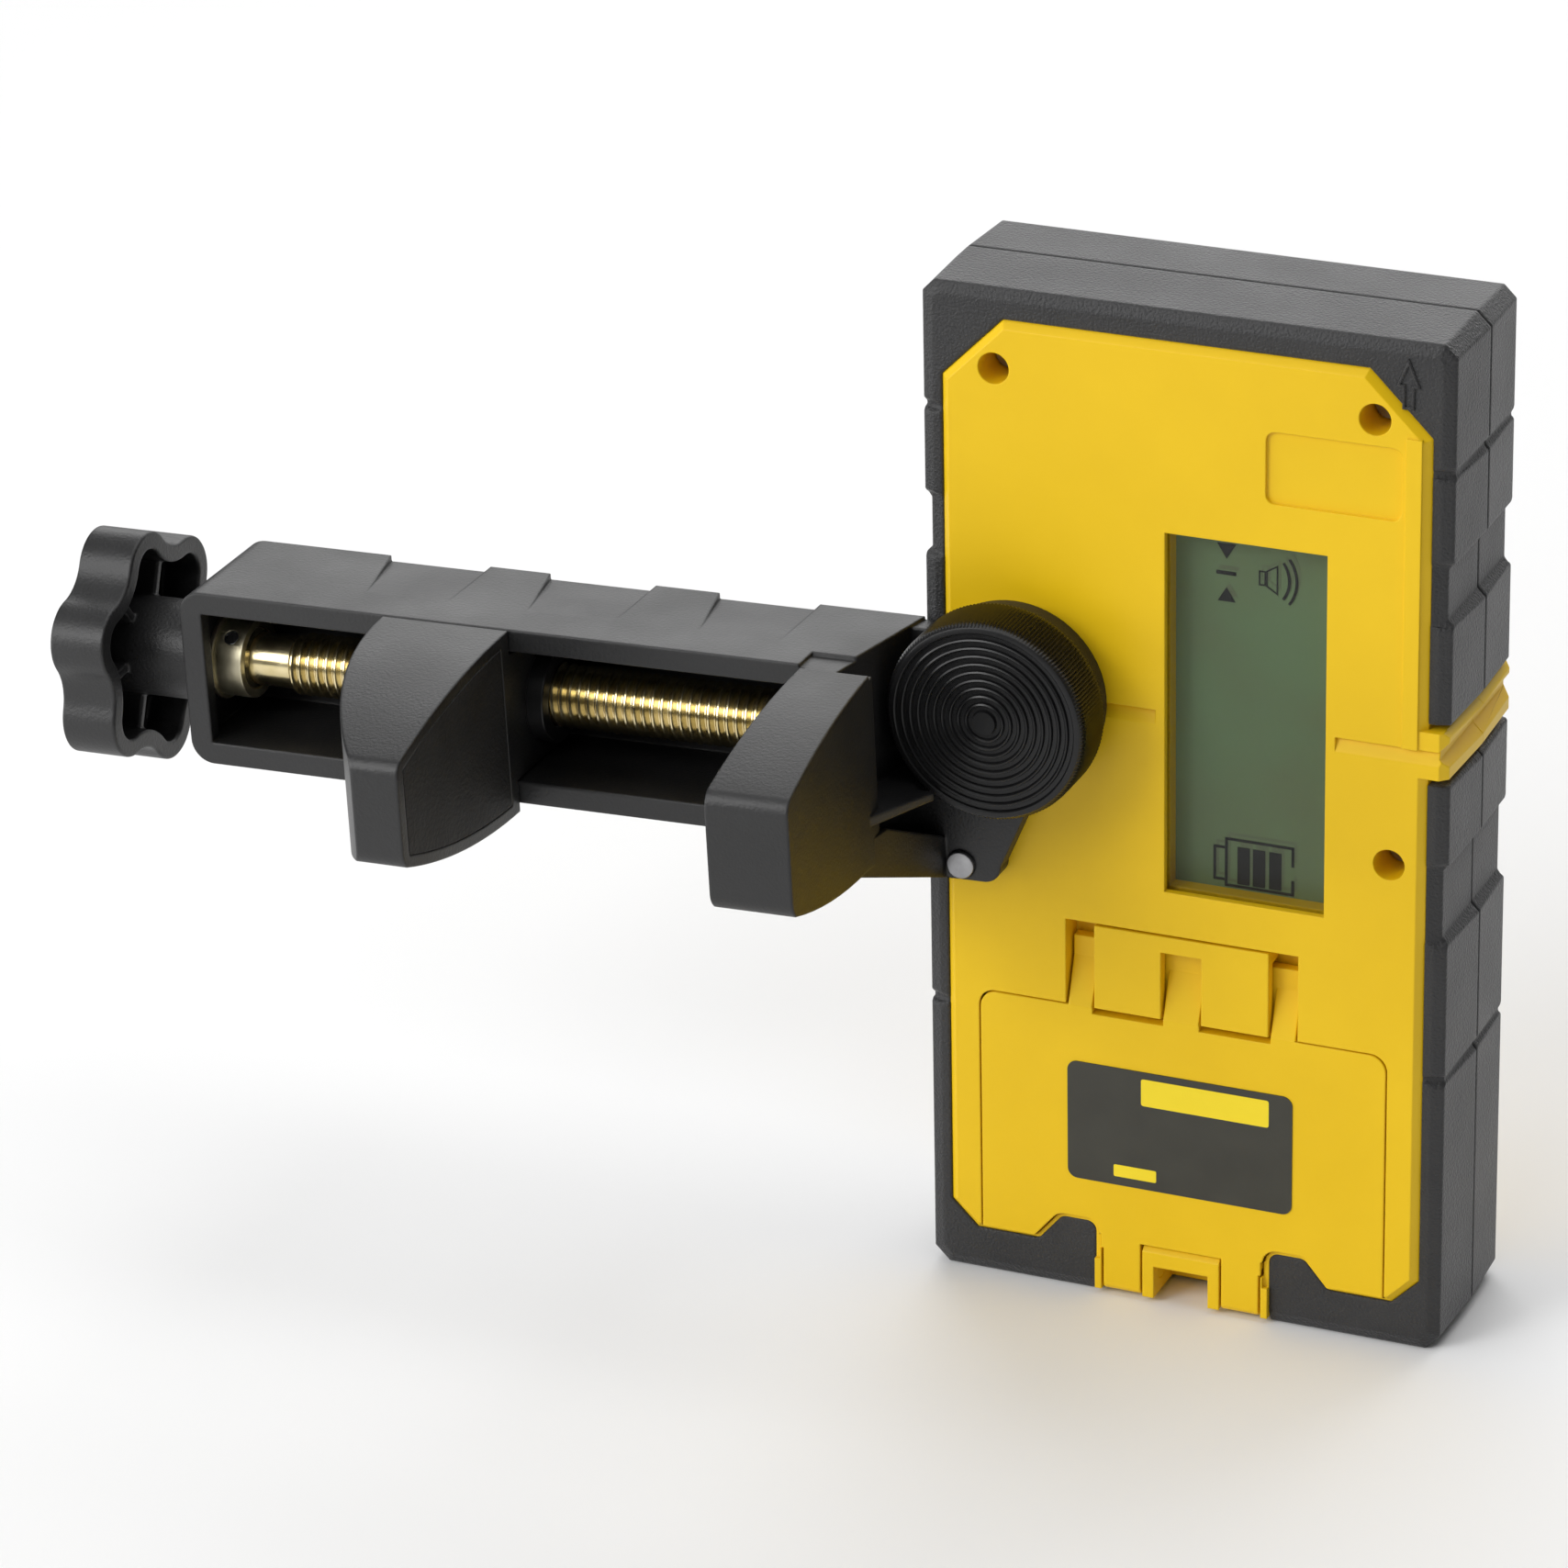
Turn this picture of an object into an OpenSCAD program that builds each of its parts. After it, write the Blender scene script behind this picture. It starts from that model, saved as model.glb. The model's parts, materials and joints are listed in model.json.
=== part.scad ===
// Laser receiver with its rod clamp, seen from the rear.
// +X is to the right of someone facing the rear panel, +Y goes away from them, +Z is up.
// The origin is the middle of the flat base.

/* [Case] */
// Width over the bumpers at the parting line
case_w = 68.1; // [66.5:0.1:72]
// Height over the bumpers
case_h = 133.1; // [131.5:0.1:138]
// Depth from the rear panel to the front panel
case_depth = 24.6; // [24:0.1:28]
// Depth of the rear half, from its panel to the parting line
rear_depth = 12.6; // [12:0.1:14]
// How far the side faces lean in from the parting line
case_draft = 0.35; // [0.1:0.05:0.8]
// Width of the bevel round the bumper faces
case_bevel_w = 1.5; // [0.8:0.1:2]
// Depth of the bevel round the bumper faces
case_bevel_t = 0.6; // [0.3:0.1:1]
// Chamfer on the four outer corners
case_corner = 1.8; // [1:0.1:4]
// Wall of the housing shells
wall = 2; // [1.6:0.1:2.4]
// Drop of the on-grade line below the top of the case
on_grade_drop = 52; // [48:0.1:55]

/* [Panels] */
// Width of the bumpers beside the yellow panels
panel_side = 3; // [2.5:0.1:3.5]
// Height of the panels' lower edge
panel_bottom = 5.9; // [5.5:0.1:6.4]
// Height of the bumpers over the panels
panel_over = 4.2; // [3.4:0.1:5]
// Cut on the panels' upper corners
panel_top_cut = 7.9; // [6:0.1:8.5]
// Cut on the panels' lower corners
panel_bottom_cut = 3.5; // [2.5:0.1:4.5]
// Bevel round the panels
panel_bevel = 1; // [0.5:0.1:1.4]
// Depth of the bumper faces below the panels
bumper_drop = 0.7; // [0.5:0.1:1.2]

/* [Bumpers] */
// Depth of the recesses in the bumper sides
recess_depth = 1.1; // [0.6:0.1:1.4]
// Rise of the upper recess's middle over the on-grade line
upper_recess_rise = 20.1; // [17:0.1:23]
// Length of the upper recess
upper_recess_h = 8.7; // [6:0.1:11]
// Drop of the lower recess's middle under the on-grade line
lower_recess_drop = 20.3; // [17:0.1:23]
// Length of the lower recess
lower_recess_h = 11.2; // [8:0.1:13]
// Rise of the upper groove over the on-grade line
upper_groove_rise = 35.5; // [31:0.1:37]
// Drop of the lower groove under the on-grade line
lower_groove_drop = 43.8; // [41:0.1:47]
// Width of the grooves
groove_w = 1.7; // [1.4:0.1:2.5]
// Depth of the grooves
groove_depth = 0.55; // [0.3:0.05:0.6]
// Height of the yellow band between the bumpers
band_h = 6.1; // [5.8:0.1:7.5]
// Depth of the notch along the band
band_notch = 1.4; // [0.8:0.1:1.6]

/* [Display] */
// Place of the display across the case
display_x = 8.1; // [6:0.1:9]
// Drop of the display's middle under the on-grade line
display_drop = 0.1; // [0:0.1:1]
// Width of the view
display_w = 20.6; // [18:0.1:22]
// Height of the view
display_h = 47.4; // [44:0.1:50]
// Depth of the display glass below the panel
display_sink = 4; // [3.6:0.1:4.4]
// Thickness of a display
display_t = 2.4; // [1.5:0.1:2.6]

/* [Sensor and keys] */
// Place of the sensor window across the case
sensor_x = -13; // [-14:0.1:-12]
// Width of the sensor window
sensor_w = 17; // [14:0.1:18]
// Height of the sensor window
sensor_h = 62; // [50:1:66]
// Thickness of the clear windows
window_t = 1; // [0.8:0.1:1.2]
// Height of the row of keys
key_z = 34; // [32:0.1:36]
// Spacing of the keys
key_pitch = 14.5; // [14.2:0.1:15]
// Radius of a key
key_r = 5.2; // [4:0.1:5.5]
// How far a key stands proud
key_proud = 0.6; // [0.3:0.1:1]
// Travel of a key
key_travel = 0.4; // [0.2:0.05:0.5]

/* [Battery door] */
// Width of the panel beside the door
door_side = 4.45; // [4:0.05:4.85]
// Height of the door's upper edge
door_top = 39.8; // [39.6:0.1:40.4]
// Thickness of the door
door_t = 1.8; // [1.5:0.1:2]
// Radius of the door's upper corners
door_r = 2.2; // [1:0.1:3]
// Radius of a cell
cell_r = 7.15; // [6.9:0.05:7.2]
// Width of the latch tab
latch_w = 22.8; // [20:0.1:24]
// Height of the latch tab
latch_h = 11.4; // [10:0.1:12]
// Width of the notch in the latch tab
latch_notch = 5.3; // [4:0.1:7]
// Travel of the latch tab
latch_travel = 0.5; // [0.3:0.05:0.6]

/* [Clamp channel] */
// Distance of the thumbscrew from the panel's side
thumb_from_side = 9.65; // [9:0.05:10.5]
// Turn of the clamp about the thumbscrew, in degrees
clamp_swing = 2; // [0:0.5:4]
// Distance from the thumbscrew to the channel's end
channel_end = 105.2; // [100:0.1:115]
// Depth of the channel
channel_depth = 18.4; // [17.5:0.1:20]
// Height of the channel
channel_h = 23.2; // [22.5:0.1:26]
// Rise of the channel's upper face over the thumbscrew
channel_top = 8.4; // [8:0.1:9]
// Wall of the channel
channel_wall = 2.9; // [2.4:0.1:3.2]
// Radius of the channel's end corners
channel_r = 3; // [1.5:0.1:4]
// Depth of the scoops along the channel's upper edge
scoop_depth = 0.8; // [0.4:0.1:1.2]
// Thickness of the mounting plate
plate_t = 3; // [2.6:0.1:3.5]

/* [Jaws] */
// Distance from the thumbscrew to the fixed jaw's face
jaw_face = 20; // [19.5:0.1:21.5]
// Gap between the jaws
jaw_open = 39.3; // [30:0.1:42]
// Reach of the sliding jaw beyond the channel
jaw_reach = 31.9; // [28:0.1:36]
// Reach of the fixed jaw beyond the channel
fixed_reach = 30.1; // [26:0.1:34]
// Height of the jaws at the channel
jaw_h = 24.2; // [23:0.1:25]
// Rise of a jaw's upper edge over the screw, at the tip
jaw_tip_up = 7.2; // [6:0.1:9]
// Drop of a jaw's lower edge under the screw, at the tip
jaw_tip_down = 6.3; // [5.5:0.1:9]
// Thickness of the sliding jaw at the channel
slider_t = 17.1; // [15:0.1:18]
// Thickness of the sliding jaw at its tip
slider_tip_t = 7.4; // [6:0.1:9]
// Thickness of the fixed jaw at its tip
fixed_tip_t = 10.7; // [10:0.1:13]
// Radius of the edges of the jaw tips
jaw_tip_r = 2.6; // [1.5:0.1:3.5]
// Thickness of the jaw pads
pad_t = 1.4; // [1:0.1:2]

/* [Screws and knobs] */
// Radius of the jaw screw
screw_r = 4; // [3.5:0.1:4.2]
// Radius of the screw collar
collar_r = 5.1; // [4.8:0.1:5.4]
// Outer radius of the star knob
star_r = 15.8; // [15:0.1:17]
// Radius of the star knob between two lobes
star_waist = 13; // [12.4:0.1:13.6]
// Radius of a lobe
lobe_r = 5.2; // [4.8:0.1:5.4]
// Number of lobes
lobes = 6; // [5:1:7]
// Thickness of the star knob
star_t = 7.5; // [6:0.1:9]
// Radius of the star knob's neck
neck_r = 6.3; // [5.6:0.1:6.6]
// Length of the neck between the channel and the star
neck_l = 8; // [6:0.1:12]
// Radius of the thumbscrew's knob
knob_r = 13; // [12:0.1:14.5]
// Thickness of the thumbscrew's knob
knob_t = 7.9; // [6:0.1:10]
// Number of rings on the knob's face
knob_rings = 10; // [6:1:12]
// Radius of the thumbscrew's stud
stud_r = 3.1; // [2.8:0.1:3.2]

/* [Hidden] */
$fn = 64;
// Overrun of the cuts, and a length past every part of the object
over = 1;
reach = 2 * (case_h + channel_end);
// Clearances: running fits, pieces that slide, and seated flat pieces
run_fit = 0.05;
slide_gap = 0.3;
seat_gap = 0.1;

// Case planes
rear_y = -case_depth / 2;
front_y = case_depth / 2;
parting_y = rear_y + rear_depth;
bumper_rear_y = rear_y + bumper_drop;
bumper_front_y = front_y - bumper_drop;
inner_rear_y = rear_y + wall;
inner_front_y = front_y - wall;
seam_gap = 0.25;
panel_top = case_h - panel_over;
panel_mid_z = (panel_top + panel_bottom) / 2;
panel_half_w = case_w / 2 - panel_side;
panel_half_h = (panel_top - panel_bottom) / 2;

// Heights that go with the on-grade line
on_grade_z = case_h - on_grade_drop;
upper_recess_z = on_grade_z + upper_recess_rise;
lower_recess_z = on_grade_z - lower_recess_drop;
upper_groove_z = on_grade_z + upper_groove_rise;
lower_groove_z = on_grade_z - lower_groove_drop;
display_z = on_grade_z - display_drop;

// Band between the bumpers: a plate over a flat foot, a notch, and a bead over the notch
band_top_gap = 0.8;
band_foot_gap = 1.1;
band_end_slope = 0.6;
band_out = case_w / 2;
band_flat = 1.05;
band_bead = 1;
band_foot = band_h - band_flat - 2 * band_notch - band_bead;
band_line_rise = 0.3;
band_line_z = on_grade_z + band_line_rise;
band_hi = band_line_z + band_notch + band_bead;
band_lo = band_hi - band_h;
band_top = band_hi + band_top_gap;
band_low = band_lo - band_foot_gap;
chamfer_x = band_out - band_end_slope;

// Lines and recesses in the rear panel
line_w = 1.9;
line_depth = 0.8;
line_stop = 1.2;
note_w = 17;
note_h = 9.2;
note_r = 1.2;
note_depth = 0.5;
note_from_side = 12;
note_from_top = 14;
note_x = panel_half_w - note_from_side;
note_z = panel_top - note_from_top;
strip_w = 2;
strip_rise = 0.3;

// Housing screws, in pairs
screw_from_side = 6.95;
screw_x_top = panel_half_w - screw_from_side;
screw_from_top = 6.1;
screw_z_top = panel_top - screw_from_top;
screw_mid_from_side = 4.45;
screw_x_mid = panel_half_w - screw_mid_from_side;
screw_under_line = 15.4;
screw_z_mid = on_grade_z - screw_under_line;
screw_places = [[-screw_x_top, screw_z_top], [screw_x_top, screw_z_top],
                [-screw_x_mid, screw_z_mid], [screw_x_mid, screw_z_mid]];
boss_r = 3.2;
screw_well_r = 2;
screw_head_r = 1.8;
screw_head_t = 1.8;
screw_shank_r = 1.15;
screw_seat_t = 5.6;
screw_blind = 3;
screw_seat_y = parting_y - screw_seat_t;
screw_tip_y = inner_front_y - screw_blind;

// Seal in the parting line
seal_inset = 0.6;
seal_w = 0.8;
seal_t = 0.8;

// Windows and displays
window_rim = 1.5;
display_rim = 1.4;
bezel_rim = 3;
front_display_trim = 2.4;
front_display_w = display_w - front_display_trim;
display_face_y = rear_y + display_sink;
window_y = inner_rear_y - window_t;

// Circuit board and what it carries
board_t = 1.2;
board_w = 42;
board_gap = 2.5;
board_y = inner_front_y - board_gap - board_t;
board_face_y = board_y + board_t;
board_bottom = 12;
board_top = screw_z_top - boss_r - slide_gap;
post_r = 2;
post_x = 17;
post_inset = 3;
diode_w = 8;
diode_t = 1.6;
diode_margin = 3;
switch_w = 6;
key_flange_w = 1.3;
key_flange_t = 0.7;
switch_t = inner_front_y - key_flange_t - key_travel - seat_gap - board_face_y;
buzzer_z = 19;
buzzer_r = 7;
buzzer_t = 2;
slot_w = 1.2;
slot_l = 8;
slot_pitch = 3;

// Battery tray and door
tray_wall = 1.5;
tray_inset = wall + slide_gap;
tray_lift = 4.5;
tray_bottom = panel_bottom + tray_lift;
cell_gap = 0.3;
tray_top = tray_bottom + 4 * cell_r + 3 * cell_gap;
door_in_y = rear_y + door_t;
cell_y = door_in_y + cell_gap + cell_r;
tray_in_y = cell_y + cell_r + cell_gap;
tray_back_y = tray_in_y + tray_wall;
tray_half = panel_half_w - tray_inset - tray_wall;
cell_ends = 5.5;
cell_can = 2 * tray_half - cell_ends;
cell_nub_r = 2.7;
cell_nub_l = 1.5;
contact_t = 0.5;
contact_w = 10;
contact_bow_r = 4;
door_w = 2 * (panel_half_w - door_side);
door_rim = 0.7;
door_bottom = panel_bottom + door_rim;
door_gap = 0.2;
door_ledge = 1.2;
door_lip = 0.5;
door_swing_step = 0.6;

// Hinge well under the door: knuckle, ears, side walls and the bumper lugs beside them
hinge_r = 2.9;
hinge_y = rear_y + hinge_r;
hinge_z = 3.6;
trunnion_r = 1.2;
knuckle_half = 5.1;
knuckle_leg = 1.5;
knuckle_top = 7.7;
ear_gap = 0.3;
ear_w = 4.9;
ear_corner = 1;
ear_in = knuckle_half + ear_gap;
ear_out = ear_in + ear_w;
well_in = ear_out + ear_gap;
well_wall = 0.9;
well_out = well_in + well_wall;
well_bottom = hinge_z - hinge_r;
hinge_room = 1;
well_back_y = hinge_y + hinge_r + hinge_room;
well_floor_y = well_back_y + tray_wall;
lug_flat = 4;
lug_rise = 3.8;
lug_angle = 50;
lug_r = 1.3;
lug_t = 1.7;
lug_rim_drop = 0.7;
knuckle_rim = knuckle_top + ear_gap - door_gap;

// Latch above the door
latch_top = door_top + latch_h;
latch_proud = 0.1;
latch_t = 1.6;
latch_leg_z = door_top + seat_gap;
latch_notch_h = 2.2;
latch_bridge_t = 1.9;
latch_ledge = 0.8;
tongue_t = 1.5;
tongue_side = 3.5;
tongue_w = latch_w + 2 * tongue_side;
tongue_top = latch_top - latch_bridge_t - latch_travel - slide_gap;
tongue_foot = 3.5;
tongue_y = door_in_y + slide_gap;
pocket_w = tongue_w + 2 * slide_gap;
pocket_top = latch_top + slide_gap;
pocket_y = tongue_y + tongue_t + slide_gap;
ramp_rise = 6;

// Clamp: every place below is measured from the thumbscrew, on the rear panel
thumb_x = thumb_from_side - panel_half_w;
thumb_rise = 0.2;
thumb_z = on_grade_z + thumb_rise;
channel_bottom = channel_top - channel_h;
end_wall = 1.2;
lip_w = 3;
lip_t = 2;
channel_slant = 4;
channel_right = 11.6;
channel_mouth_y = -channel_depth;
scoop_share = 0.66;
scoop_slant = 2.8;
scoop_from_shares = [0.22, 0.457, 0.704];
scoop_to_shares = [0.37, 0.613, 0.85];
step_drop = 0.5;
step_l = 4;
mid_q = channel_top - jaw_h / 2;
jaw_up_r = (jaw_reach * jaw_reach) / (jaw_h - 2 * jaw_tip_up);
jaw_down_r = (jaw_reach * jaw_reach) / (jaw_h - 2 * jaw_tip_down);
slider_arc_r = (jaw_reach * jaw_reach) / (2 * (slider_t - slider_tip_t));
fixed_root_t = 9;
slider_face = jaw_face + jaw_open;
slider_shoulder = 0.6;
jaw_tip_edge = 0.12;
pad_margin = 1.6;
pad_inner = 2.4;
plate_r = 11.8;
plate_top_q = 8;
ear_bottom_q = -25;
ear_right_p = -4.2;
ear_corner_r = 2.2;
ear_slope_p = 3.6;
ear_slope_q = -11;
rib_t = 1.2;
rib_q = -10.5;
rib_foot_p = -2.4;
rib_head_y = -23;
web_t = 2.4;
web_head_y = -26;
web_set = 0.5;
web_foot_p = -9.1;
web_head_p = -11.4;
pin_p = -7.15;
pin_q = -22.9;
pin_r = 1.8;
pin_proud = 0.6;
pin_depth = 2;
pin_gap = 0.3;

// Jaw screw
screw_y = -channel_depth / 2;
screw_q = mid_q;
journal_step = 1;
journal_r = screw_r - journal_step;
journal_l = 4;
washer_t = 0.6;
washer_r = 5.6;
collar_l = 3.9;
collar_pin_r = 1;
collar_pin_turn = 50;
shank_l = 5.5;
thread_depth = 0.65;
nut_r = channel_depth / 2 - channel_wall - slide_gap;
nut_proud = 2.2;
nut_l = 9;
star_wall = 2.3;
star_floor = 2.2;
star_rib_t = 1.2;
star_rib_drop = 1.5;
neck_gap = 0.3;
end_in = -(channel_end - end_wall);
collar_p = end_in + washer_t;
shank_p = collar_p + collar_l;
star_face_p = -channel_end - neck_gap - neck_l;
star_back_p = star_face_p - star_t;

// Thumbscrew
knob_edge = 0.7;
ring_depth = 0.5;
ring_start = 1.6;
stud_depth = 8.5;
stud_grip = 5;
clip_r = 5;
clip_t = 0.8;
clip_neck = 0.5;
insert_wall = 1.5;
insert_l = 9;
insert_boss = 1.8;
plate_hole_gap = 0.3;

yellow = [0.96, 0.77, 0.05];
black = [0.14, 0.14, 0.15];
rubber = [0.1, 0.1, 0.1];
steel = [0.75, 0.75, 0.76];
zinc = [0.8, 0.7, 0.42];
brass = [0.78, 0.62, 0.25];

// Placing helpers

// Outline in X and Z, made thick from y0 to y1
module slab(y0, y1) {
    translate([0, y1, 0]) rotate([90, 0, 0]) linear_extrude(y1 - y0) children();
}

// Outline in Y and Z, made long from x0 to x1
module bar(x0, x1) {
    translate([x0, 0, 0]) rotate([90, 0, 90]) linear_extrude(x1 - x0) children();
}

// Round rod along Y
module rod_y(r, y0, y1) {
    translate([0, y1, 0]) rotate([90, 0, 0]) cylinder(r = r, h = y1 - y0);
}

// Round rod along X
module rod_x(r, x0, x1) {
    translate([x0, 0, 0]) rotate([0, 90, 0]) cylinder(r = r, h = x1 - x0);
}

// Box from its lowest to its highest corner
module span(lo, hi) {
    translate(lo) cube(hi - lo);
}

module at(x, z) {
    translate([x, 0, z]) children();
}

module both_sides() {
    children();
    mirror([1, 0, 0]) children();
}

module both_faces() {
    children();
    mirror([0, 1, 0]) children();
}

// Rectangle with round corners, about its middle
module round_rect(w, h, r) {
    square([w - 2 * r, h], center = true);
    square([w, h - 2 * r], center = true);
    for (x = [-1, 1], z = [-1, 1]) translate([x * (w / 2 - r), z * (h / 2 - r)]) circle(r);
}

// Everything of the clamp sits in the thumbscrew's frame, swung about its axis
module on_clamp() {
    translate([thumb_x, rear_y, thumb_z]) rotate([0, -clamp_swing, 0]) children();
}

// Blocks with eight sides, each given by its direction and distance

function octagon(half_w, half_h, top_cut, bottom_cut, inset) = let(
    top_d = (half_w + half_h - top_cut) / sqrt(2) - inset,
    low_d = (half_w + half_h - bottom_cut) / sqrt(2) - inset)
    [[0, half_w - inset], [180, half_w - inset], [90, half_h - inset], [270, half_h - inset],
     [45, top_d], [135, top_d], [225, low_d], [315, low_d]];

// Edge at distance d on the face y, with a bevel w wide and t deep behind (1) or before (-1) that face
function edge(d, y, w, t, dir) = w > 0 ? (dir > 0 ? [[d - w, y], [d, y + t]]
    : [[d, y - t], [d - w, y]]) : [[d, y]];

function panel_profile(d, y0, y1, b0, b1) =
    concat([[-reach, y0]], edge(d, y0, b0, b0, 1), edge(d, y1, b1, b1, -1), [[-reach, y1]]);

function bumper_profile(d, lean) = concat([[-reach, bumper_rear_y]],
    edge(d - lean, bumper_rear_y, case_bevel_w, case_bevel_t, 1), [[d, parting_y]],
    edge(d - lean, bumper_front_y, case_bevel_w, case_bevel_t, -1), [[-reach, bumper_front_y]]);

module faced(angle) {
    rotate([0, -angle, 0]) linear_extrude(2 * reach, center = true) children();
}

module panel_block(inset, y0, y1, b0 = 0, b1 = 0) {
    at(0, panel_mid_z)
        intersection_for (f = octagon(panel_half_w, panel_half_h, panel_top_cut, panel_bottom_cut, inset))
            faced(f[0]) polygon(panel_profile(f[1], y0, y1, b0, b1));
}

module bumper_block() {
    at(0, case_h / 2)
        intersection_for (f = octagon(case_w / 2, case_h / 2, case_corner, case_corner, 0))
            faced(f[0]) polygon(bumper_profile(f[1], f[0] == 270 ? 0 : case_draft));
}

// Bumpers

module side_cut(mid_z, h, depth, slope) {
    side = case_w / 2;
    both_sides() slab(rear_y - over, front_y + over)
        polygon([[side - depth, mid_z - h / 2 + slope], [side - depth, mid_z + h / 2 - slope],
                 [side + slope, mid_z + h / 2 + slope * slope / depth],
                 [side + slope, mid_z - h / 2 - slope * slope / depth]]);
}

// The same cut carried on over the bevels of the rear and front faces
module bevel_cut(mid_z, h) {
    lean = atan(case_bevel_t / case_bevel_w);
    both_faces() both_sides()
        translate([case_w / 2 - case_draft, bumper_rear_y + case_bevel_t, mid_z]) rotate([0, 0, lean])
            bar(-panel_side - over, over)
                polygon([[groove_depth, groove_depth - h / 2], [groove_depth, h / 2 - groove_depth],
                         [-over, h / 2 + over], [-over, -h / 2 - over]]);
}

module bumper_part(y0, y1, z0, z1) {
    difference() {
        intersection() {
            bumper_block();
            span([-case_w, y0, z0], [case_w, y1, z1]);
        }
        panel_block(0, rear_y - over, front_y + over);
        side_cut(upper_recess_z, upper_recess_h, recess_depth, recess_depth);
        bevel_cut(upper_recess_z, upper_recess_h);
        side_cut(lower_recess_z, lower_recess_h, recess_depth, recess_depth);
        bevel_cut(lower_recess_z, lower_recess_h);
        for (z = [upper_groove_z, lower_groove_z]) {
            side_cut(z, groove_w, groove_depth, groove_depth);
            bevel_cut(z, groove_w);
        }
        // chamfer along the upper end of the lower bumper
        both_sides() slab(rear_y - over, front_y + over)
            polygon([[chamfer_x + band_end_slope + over, band_low - band_end_slope - over],
                     [chamfer_x + band_end_slope + over, band_low + over], [chamfer_x - over, band_low + over]]);
    }
}

// Lug of the lower bumper that rises beside the hinge well, grown by a rim:
// a round corner, a flat top, and a slope that runs out in a curve
module lug_outline(grow) {
    top = panel_bottom + lug_rise + grow;
    base = panel_bottom + grow;
    round_r = lug_r + grow;
    hollow_r = lug_r - grow;
    slope_l = (lug_rise - 2 * lug_r * (1 - cos(lug_angle))) / sin(lug_angle);
    x0 = well_out - grow;
    x1 = well_out + lug_flat;
    x2 = x1 + 2 * lug_r * sin(lug_angle) + slope_l * cos(lug_angle);
    both_sides() difference() {
        union() {
            polygon([[x0, base - over - grow], [x0, top - round_r], [x0 + round_r, top], [x1, top],
                     [x1 + round_r * sin(lug_angle), top - round_r * (1 - cos(lug_angle))],
                     [x2 - hollow_r * sin(lug_angle), base + hollow_r * (1 - cos(lug_angle))],
                     [x2, base], [x2, base - over - grow]]);
            translate([x0 + round_r, top - round_r]) circle(round_r);
            translate([x1, top - round_r]) circle(round_r);
        }
        translate([x2, base + hollow_r]) circle(hollow_r);
    }
}

module well_block(y0, y1, grow) {
    span([-well_out - grow, y0, -over], [well_out + grow, y1, panel_bottom + over]);
}

module rear_upper_bumper() {
    color(black) bumper_part(rear_y, parting_y, band_top, case_h + over);
}

module rear_lower_bumper() {
    color(black) difference() {
        union() {
            bumper_part(rear_y, parting_y, -over, band_low);
            slab(bumper_rear_y, bumper_rear_y + lug_t) lug_outline(0);
        }
        well_block(rear_y - over, well_floor_y, 0);
    }
}

module front_upper_bumper() {
    color(black) bumper_part(parting_y + seam_gap, front_y, band_top, case_h + over);
}

module front_lower_bumper() {
    color(black) bumper_part(parting_y + seam_gap, front_y, -over, band_low);
}

// Housings

module band(y0, y1) {
    inner = panel_half_w - wall / 2;
    edge_x = band_out - case_draft;
    both_sides() intersection() {
        slab(y0, y1)
            polygon([[inner, band_lo], [band_out, band_lo], [band_out, band_lo + band_foot],
                     [band_out - band_notch, band_lo + band_foot + band_notch],
                     [band_out - band_notch, band_line_z], [band_out, band_line_z + band_notch],
                     [band_out - band_bead, band_hi], [inner, band_hi]]);
        translate([0, 0, band_lo - over]) linear_extrude(band_h + 2 * over)
            polygon([[0, rear_y], [edge_x - panel_bevel, rear_y], [edge_x, rear_y + panel_bevel],
                     [band_out, parting_y], [edge_x, front_y - panel_bevel],
                     [edge_x - panel_bevel, front_y], [0, front_y]]);
    }
}

// Line across the rear panel: a wall above, and a floor that slopes back out to the panel
module on_grade_line(x0, x1) {
    bar(x0, x1) polygon([[rear_y + line_depth, band_line_z], [rear_y - line_depth, band_line_z],
                         [rear_y - line_depth, band_line_z - 2 * line_w]]);
}

module tray_block(inset, y0, y1, z0, z1) {
    intersection() {
        panel_block(inset, y0, y1);
        span([-case_w, y0, z0], [case_w, y1, z1]);
    }
}

module rear_shell() {
    difference() {
        panel_block(0, rear_y, parting_y, panel_bevel, 0);
        panel_block(wall, inner_rear_y, parting_y + over);
    }
    band(rear_y, parting_y);
    span([panel_half_w - panel_bevel - strip_w, rear_y - strip_rise, band_line_z],
         [panel_half_w - panel_bevel, inner_rear_y, panel_top - panel_top_cut]);
    for (p = screw_places) at(p[0], p[1]) rod_y(boss_r, inner_rear_y - wall / 2, parting_y);
    at(thumb_x, thumb_z)
        rod_y(stud_r + insert_wall + insert_boss, inner_rear_y - wall / 2, rear_y + insert_l + wall);
    on_clamp() translate([pin_p, 0, pin_q]) rod_y(pin_r + pin_gap + wall / 2, wall / 2, wall + pin_depth);
    at(display_x, display_z) slab(inner_rear_y - wall / 2, display_face_y + display_t)
        square([display_w + 2 * bezel_rim, display_h + 2 * bezel_rim], center = true);
    tray_block(tray_inset, inner_rear_y - wall / 2, tray_back_y, panel_bottom, tray_top + tray_wall);
    slab(inner_rear_y - wall / 2, pocket_y + tray_wall)
        translate([-pocket_w / 2 - tray_wall, tray_top])
            square([pocket_w + 2 * tray_wall, pocket_top + tray_wall - tray_top]);
    span([-well_out, rear_y, well_bottom], [well_out, well_floor_y, panel_bottom + wall]);
}

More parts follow.
